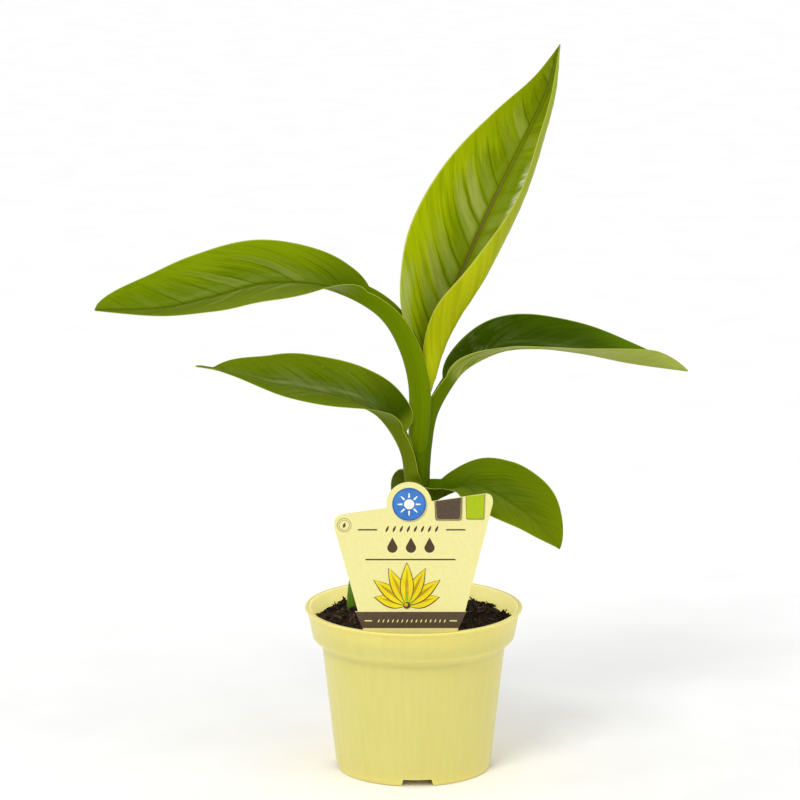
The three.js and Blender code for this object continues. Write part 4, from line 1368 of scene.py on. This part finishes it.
def make_label():
    """The card and its print. Each level of ink lies a hair above the one before it."""
    inks = {name: plain_material(name, *look, 0.00003) for name, look in INKS.items()}
    front = LABEL["y"] - LABEL["thickness"] / 2
    back = LABEL["y"] + LABEL["thickness"] / 2
    plate("label_card", card_outline(), front, back, inks["card_cream"], "label", bevel=0.12)

    def ink(name, outline, tone, level=1):
        rear = front - INK_STEP * (level - 1) + INK_SINK
        plate(name, outline, front - INK_STEP * level, rear, inks[tone])

    print_badge(ink)
    for name, x0, x1, foot, corner, tone, level in TABS:
        ink(name, tab_points(x0, x1, foot, corner), tone, level)
    print_signs(ink)
    print_fan(ink)
    print_band(ink)


# ---------------- stage

# The camera's place in metres, how far down it looks in degrees, and its lens.
CAMERA = {"place": (-0.0075, -2.125, 0.6564), "down": 11.94, "lens": 179.0, "sensor": 36}
FLOOR_REACH = 30.0  # metres


def area_light(name, place, target, size, power):
    data = bpy.data.lights.new(name, "AREA")
    data.shape, data.size, data.size_y = "RECTANGLE", size[0], size[1]
    data.energy = power
    lamp = add_object(name, data)
    lamp.location = place
    aim = np.array(target, float) - np.array(place, float)
    lamp.rotation_mode = "QUATERNION"
    lamp.rotation_quaternion = Vector(aim).to_track_quat("-Z", "Y")


def sun_light(name, turn, height, strength, spread):
    """A soft distant light: its heading and height in degrees, and how wide it looks."""
    data = bpy.data.lights.new(name, "SUN")
    data.energy, data.angle = strength, math.radians(spread)
    lamp = add_object(name, data)
    lamp.rotation_euler = (math.radians(90 - height), 0, math.radians(turn))


def make_stage():
    floor = plain_material("floor_white", (253, 253, 253), (250, 250, 250), 0.8, 20)
    mesh = bpy.data.meshes.new("floor")
    square = ((-1, -1), (1, -1), (1, 1), (-1, 1))
    mesh.from_pydata([(FLOOR_REACH * x, FLOOR_REACH * y, 0) for x, y in square], [],
                     [(0, 1, 2, 3)])
    mesh.materials.append(floor)
    add_object("floor", mesh)
    sun_light("key", turn=-24, height=48, strength=1.12, spread=20)
    sun_light("fill", turn=50, height=35, strength=0.45, spread=50)
    area_light("softbox", (-1.2, -0.05, 0.45), target=(0, 0, 0.2), size=(0.4, 1.0), power=1.2)
    world = bpy.data.worlds.new("studio")
    world.use_nodes = True
    sky = world.node_tree.nodes["Background"]
    sky.inputs["Color"].default_value = (1, 1, 1, 1)
    sky.inputs["Strength"].default_value = 0.7
    bpy.context.scene.world = world
    bpy.context.scene.view_settings.view_transform = "Standard"
    bpy.context.scene.view_settings.exposure = 0.0


def make_camera():
    data = bpy.data.cameras.new("camera")
    data.lens, data.sensor_width = CAMERA["lens"], CAMERA["sensor"]
    data.clip_start, data.clip_end = 0.1, 60
    camera = add_object("camera", data)
    camera.location = CAMERA["place"]
    camera.rotation_euler = (math.radians(90 - CAMERA["down"]), 0, 0)
    bpy.context.scene.camera = camera


# ---------------- assembly

make_camera()
make_stage()
for leaf_name, leaf_spec in LEAVES.items():
    surface = leaf_material("surface_" + leaf_name, LOOKS[leaf_name])
    leaf_piece("blade_" + leaf_name, leaf_spec, surface)
make_stem(stem_material())
make_shoot(plain_material("shoot_green", (108, 150, 34), (84, 126, 20), 0.45, 500, 0.0001,
                          (1, 1, 0.05)))
# The inner wall's material is painted light: paler and faintly glowing, it stands for the light
# that comes through the thin wall.
make_pot(pot_material("pot_yellow", (234, 218, 127), (229, 209, 113)),
         pot_material("pot_inside_painted_glow", (255, 238, 168), (252, 232, 156), glow=0.3))
make_soil(soil_material())
make_label()


def corners(box):
    return [[float(c) for c in corner] for corner in box]
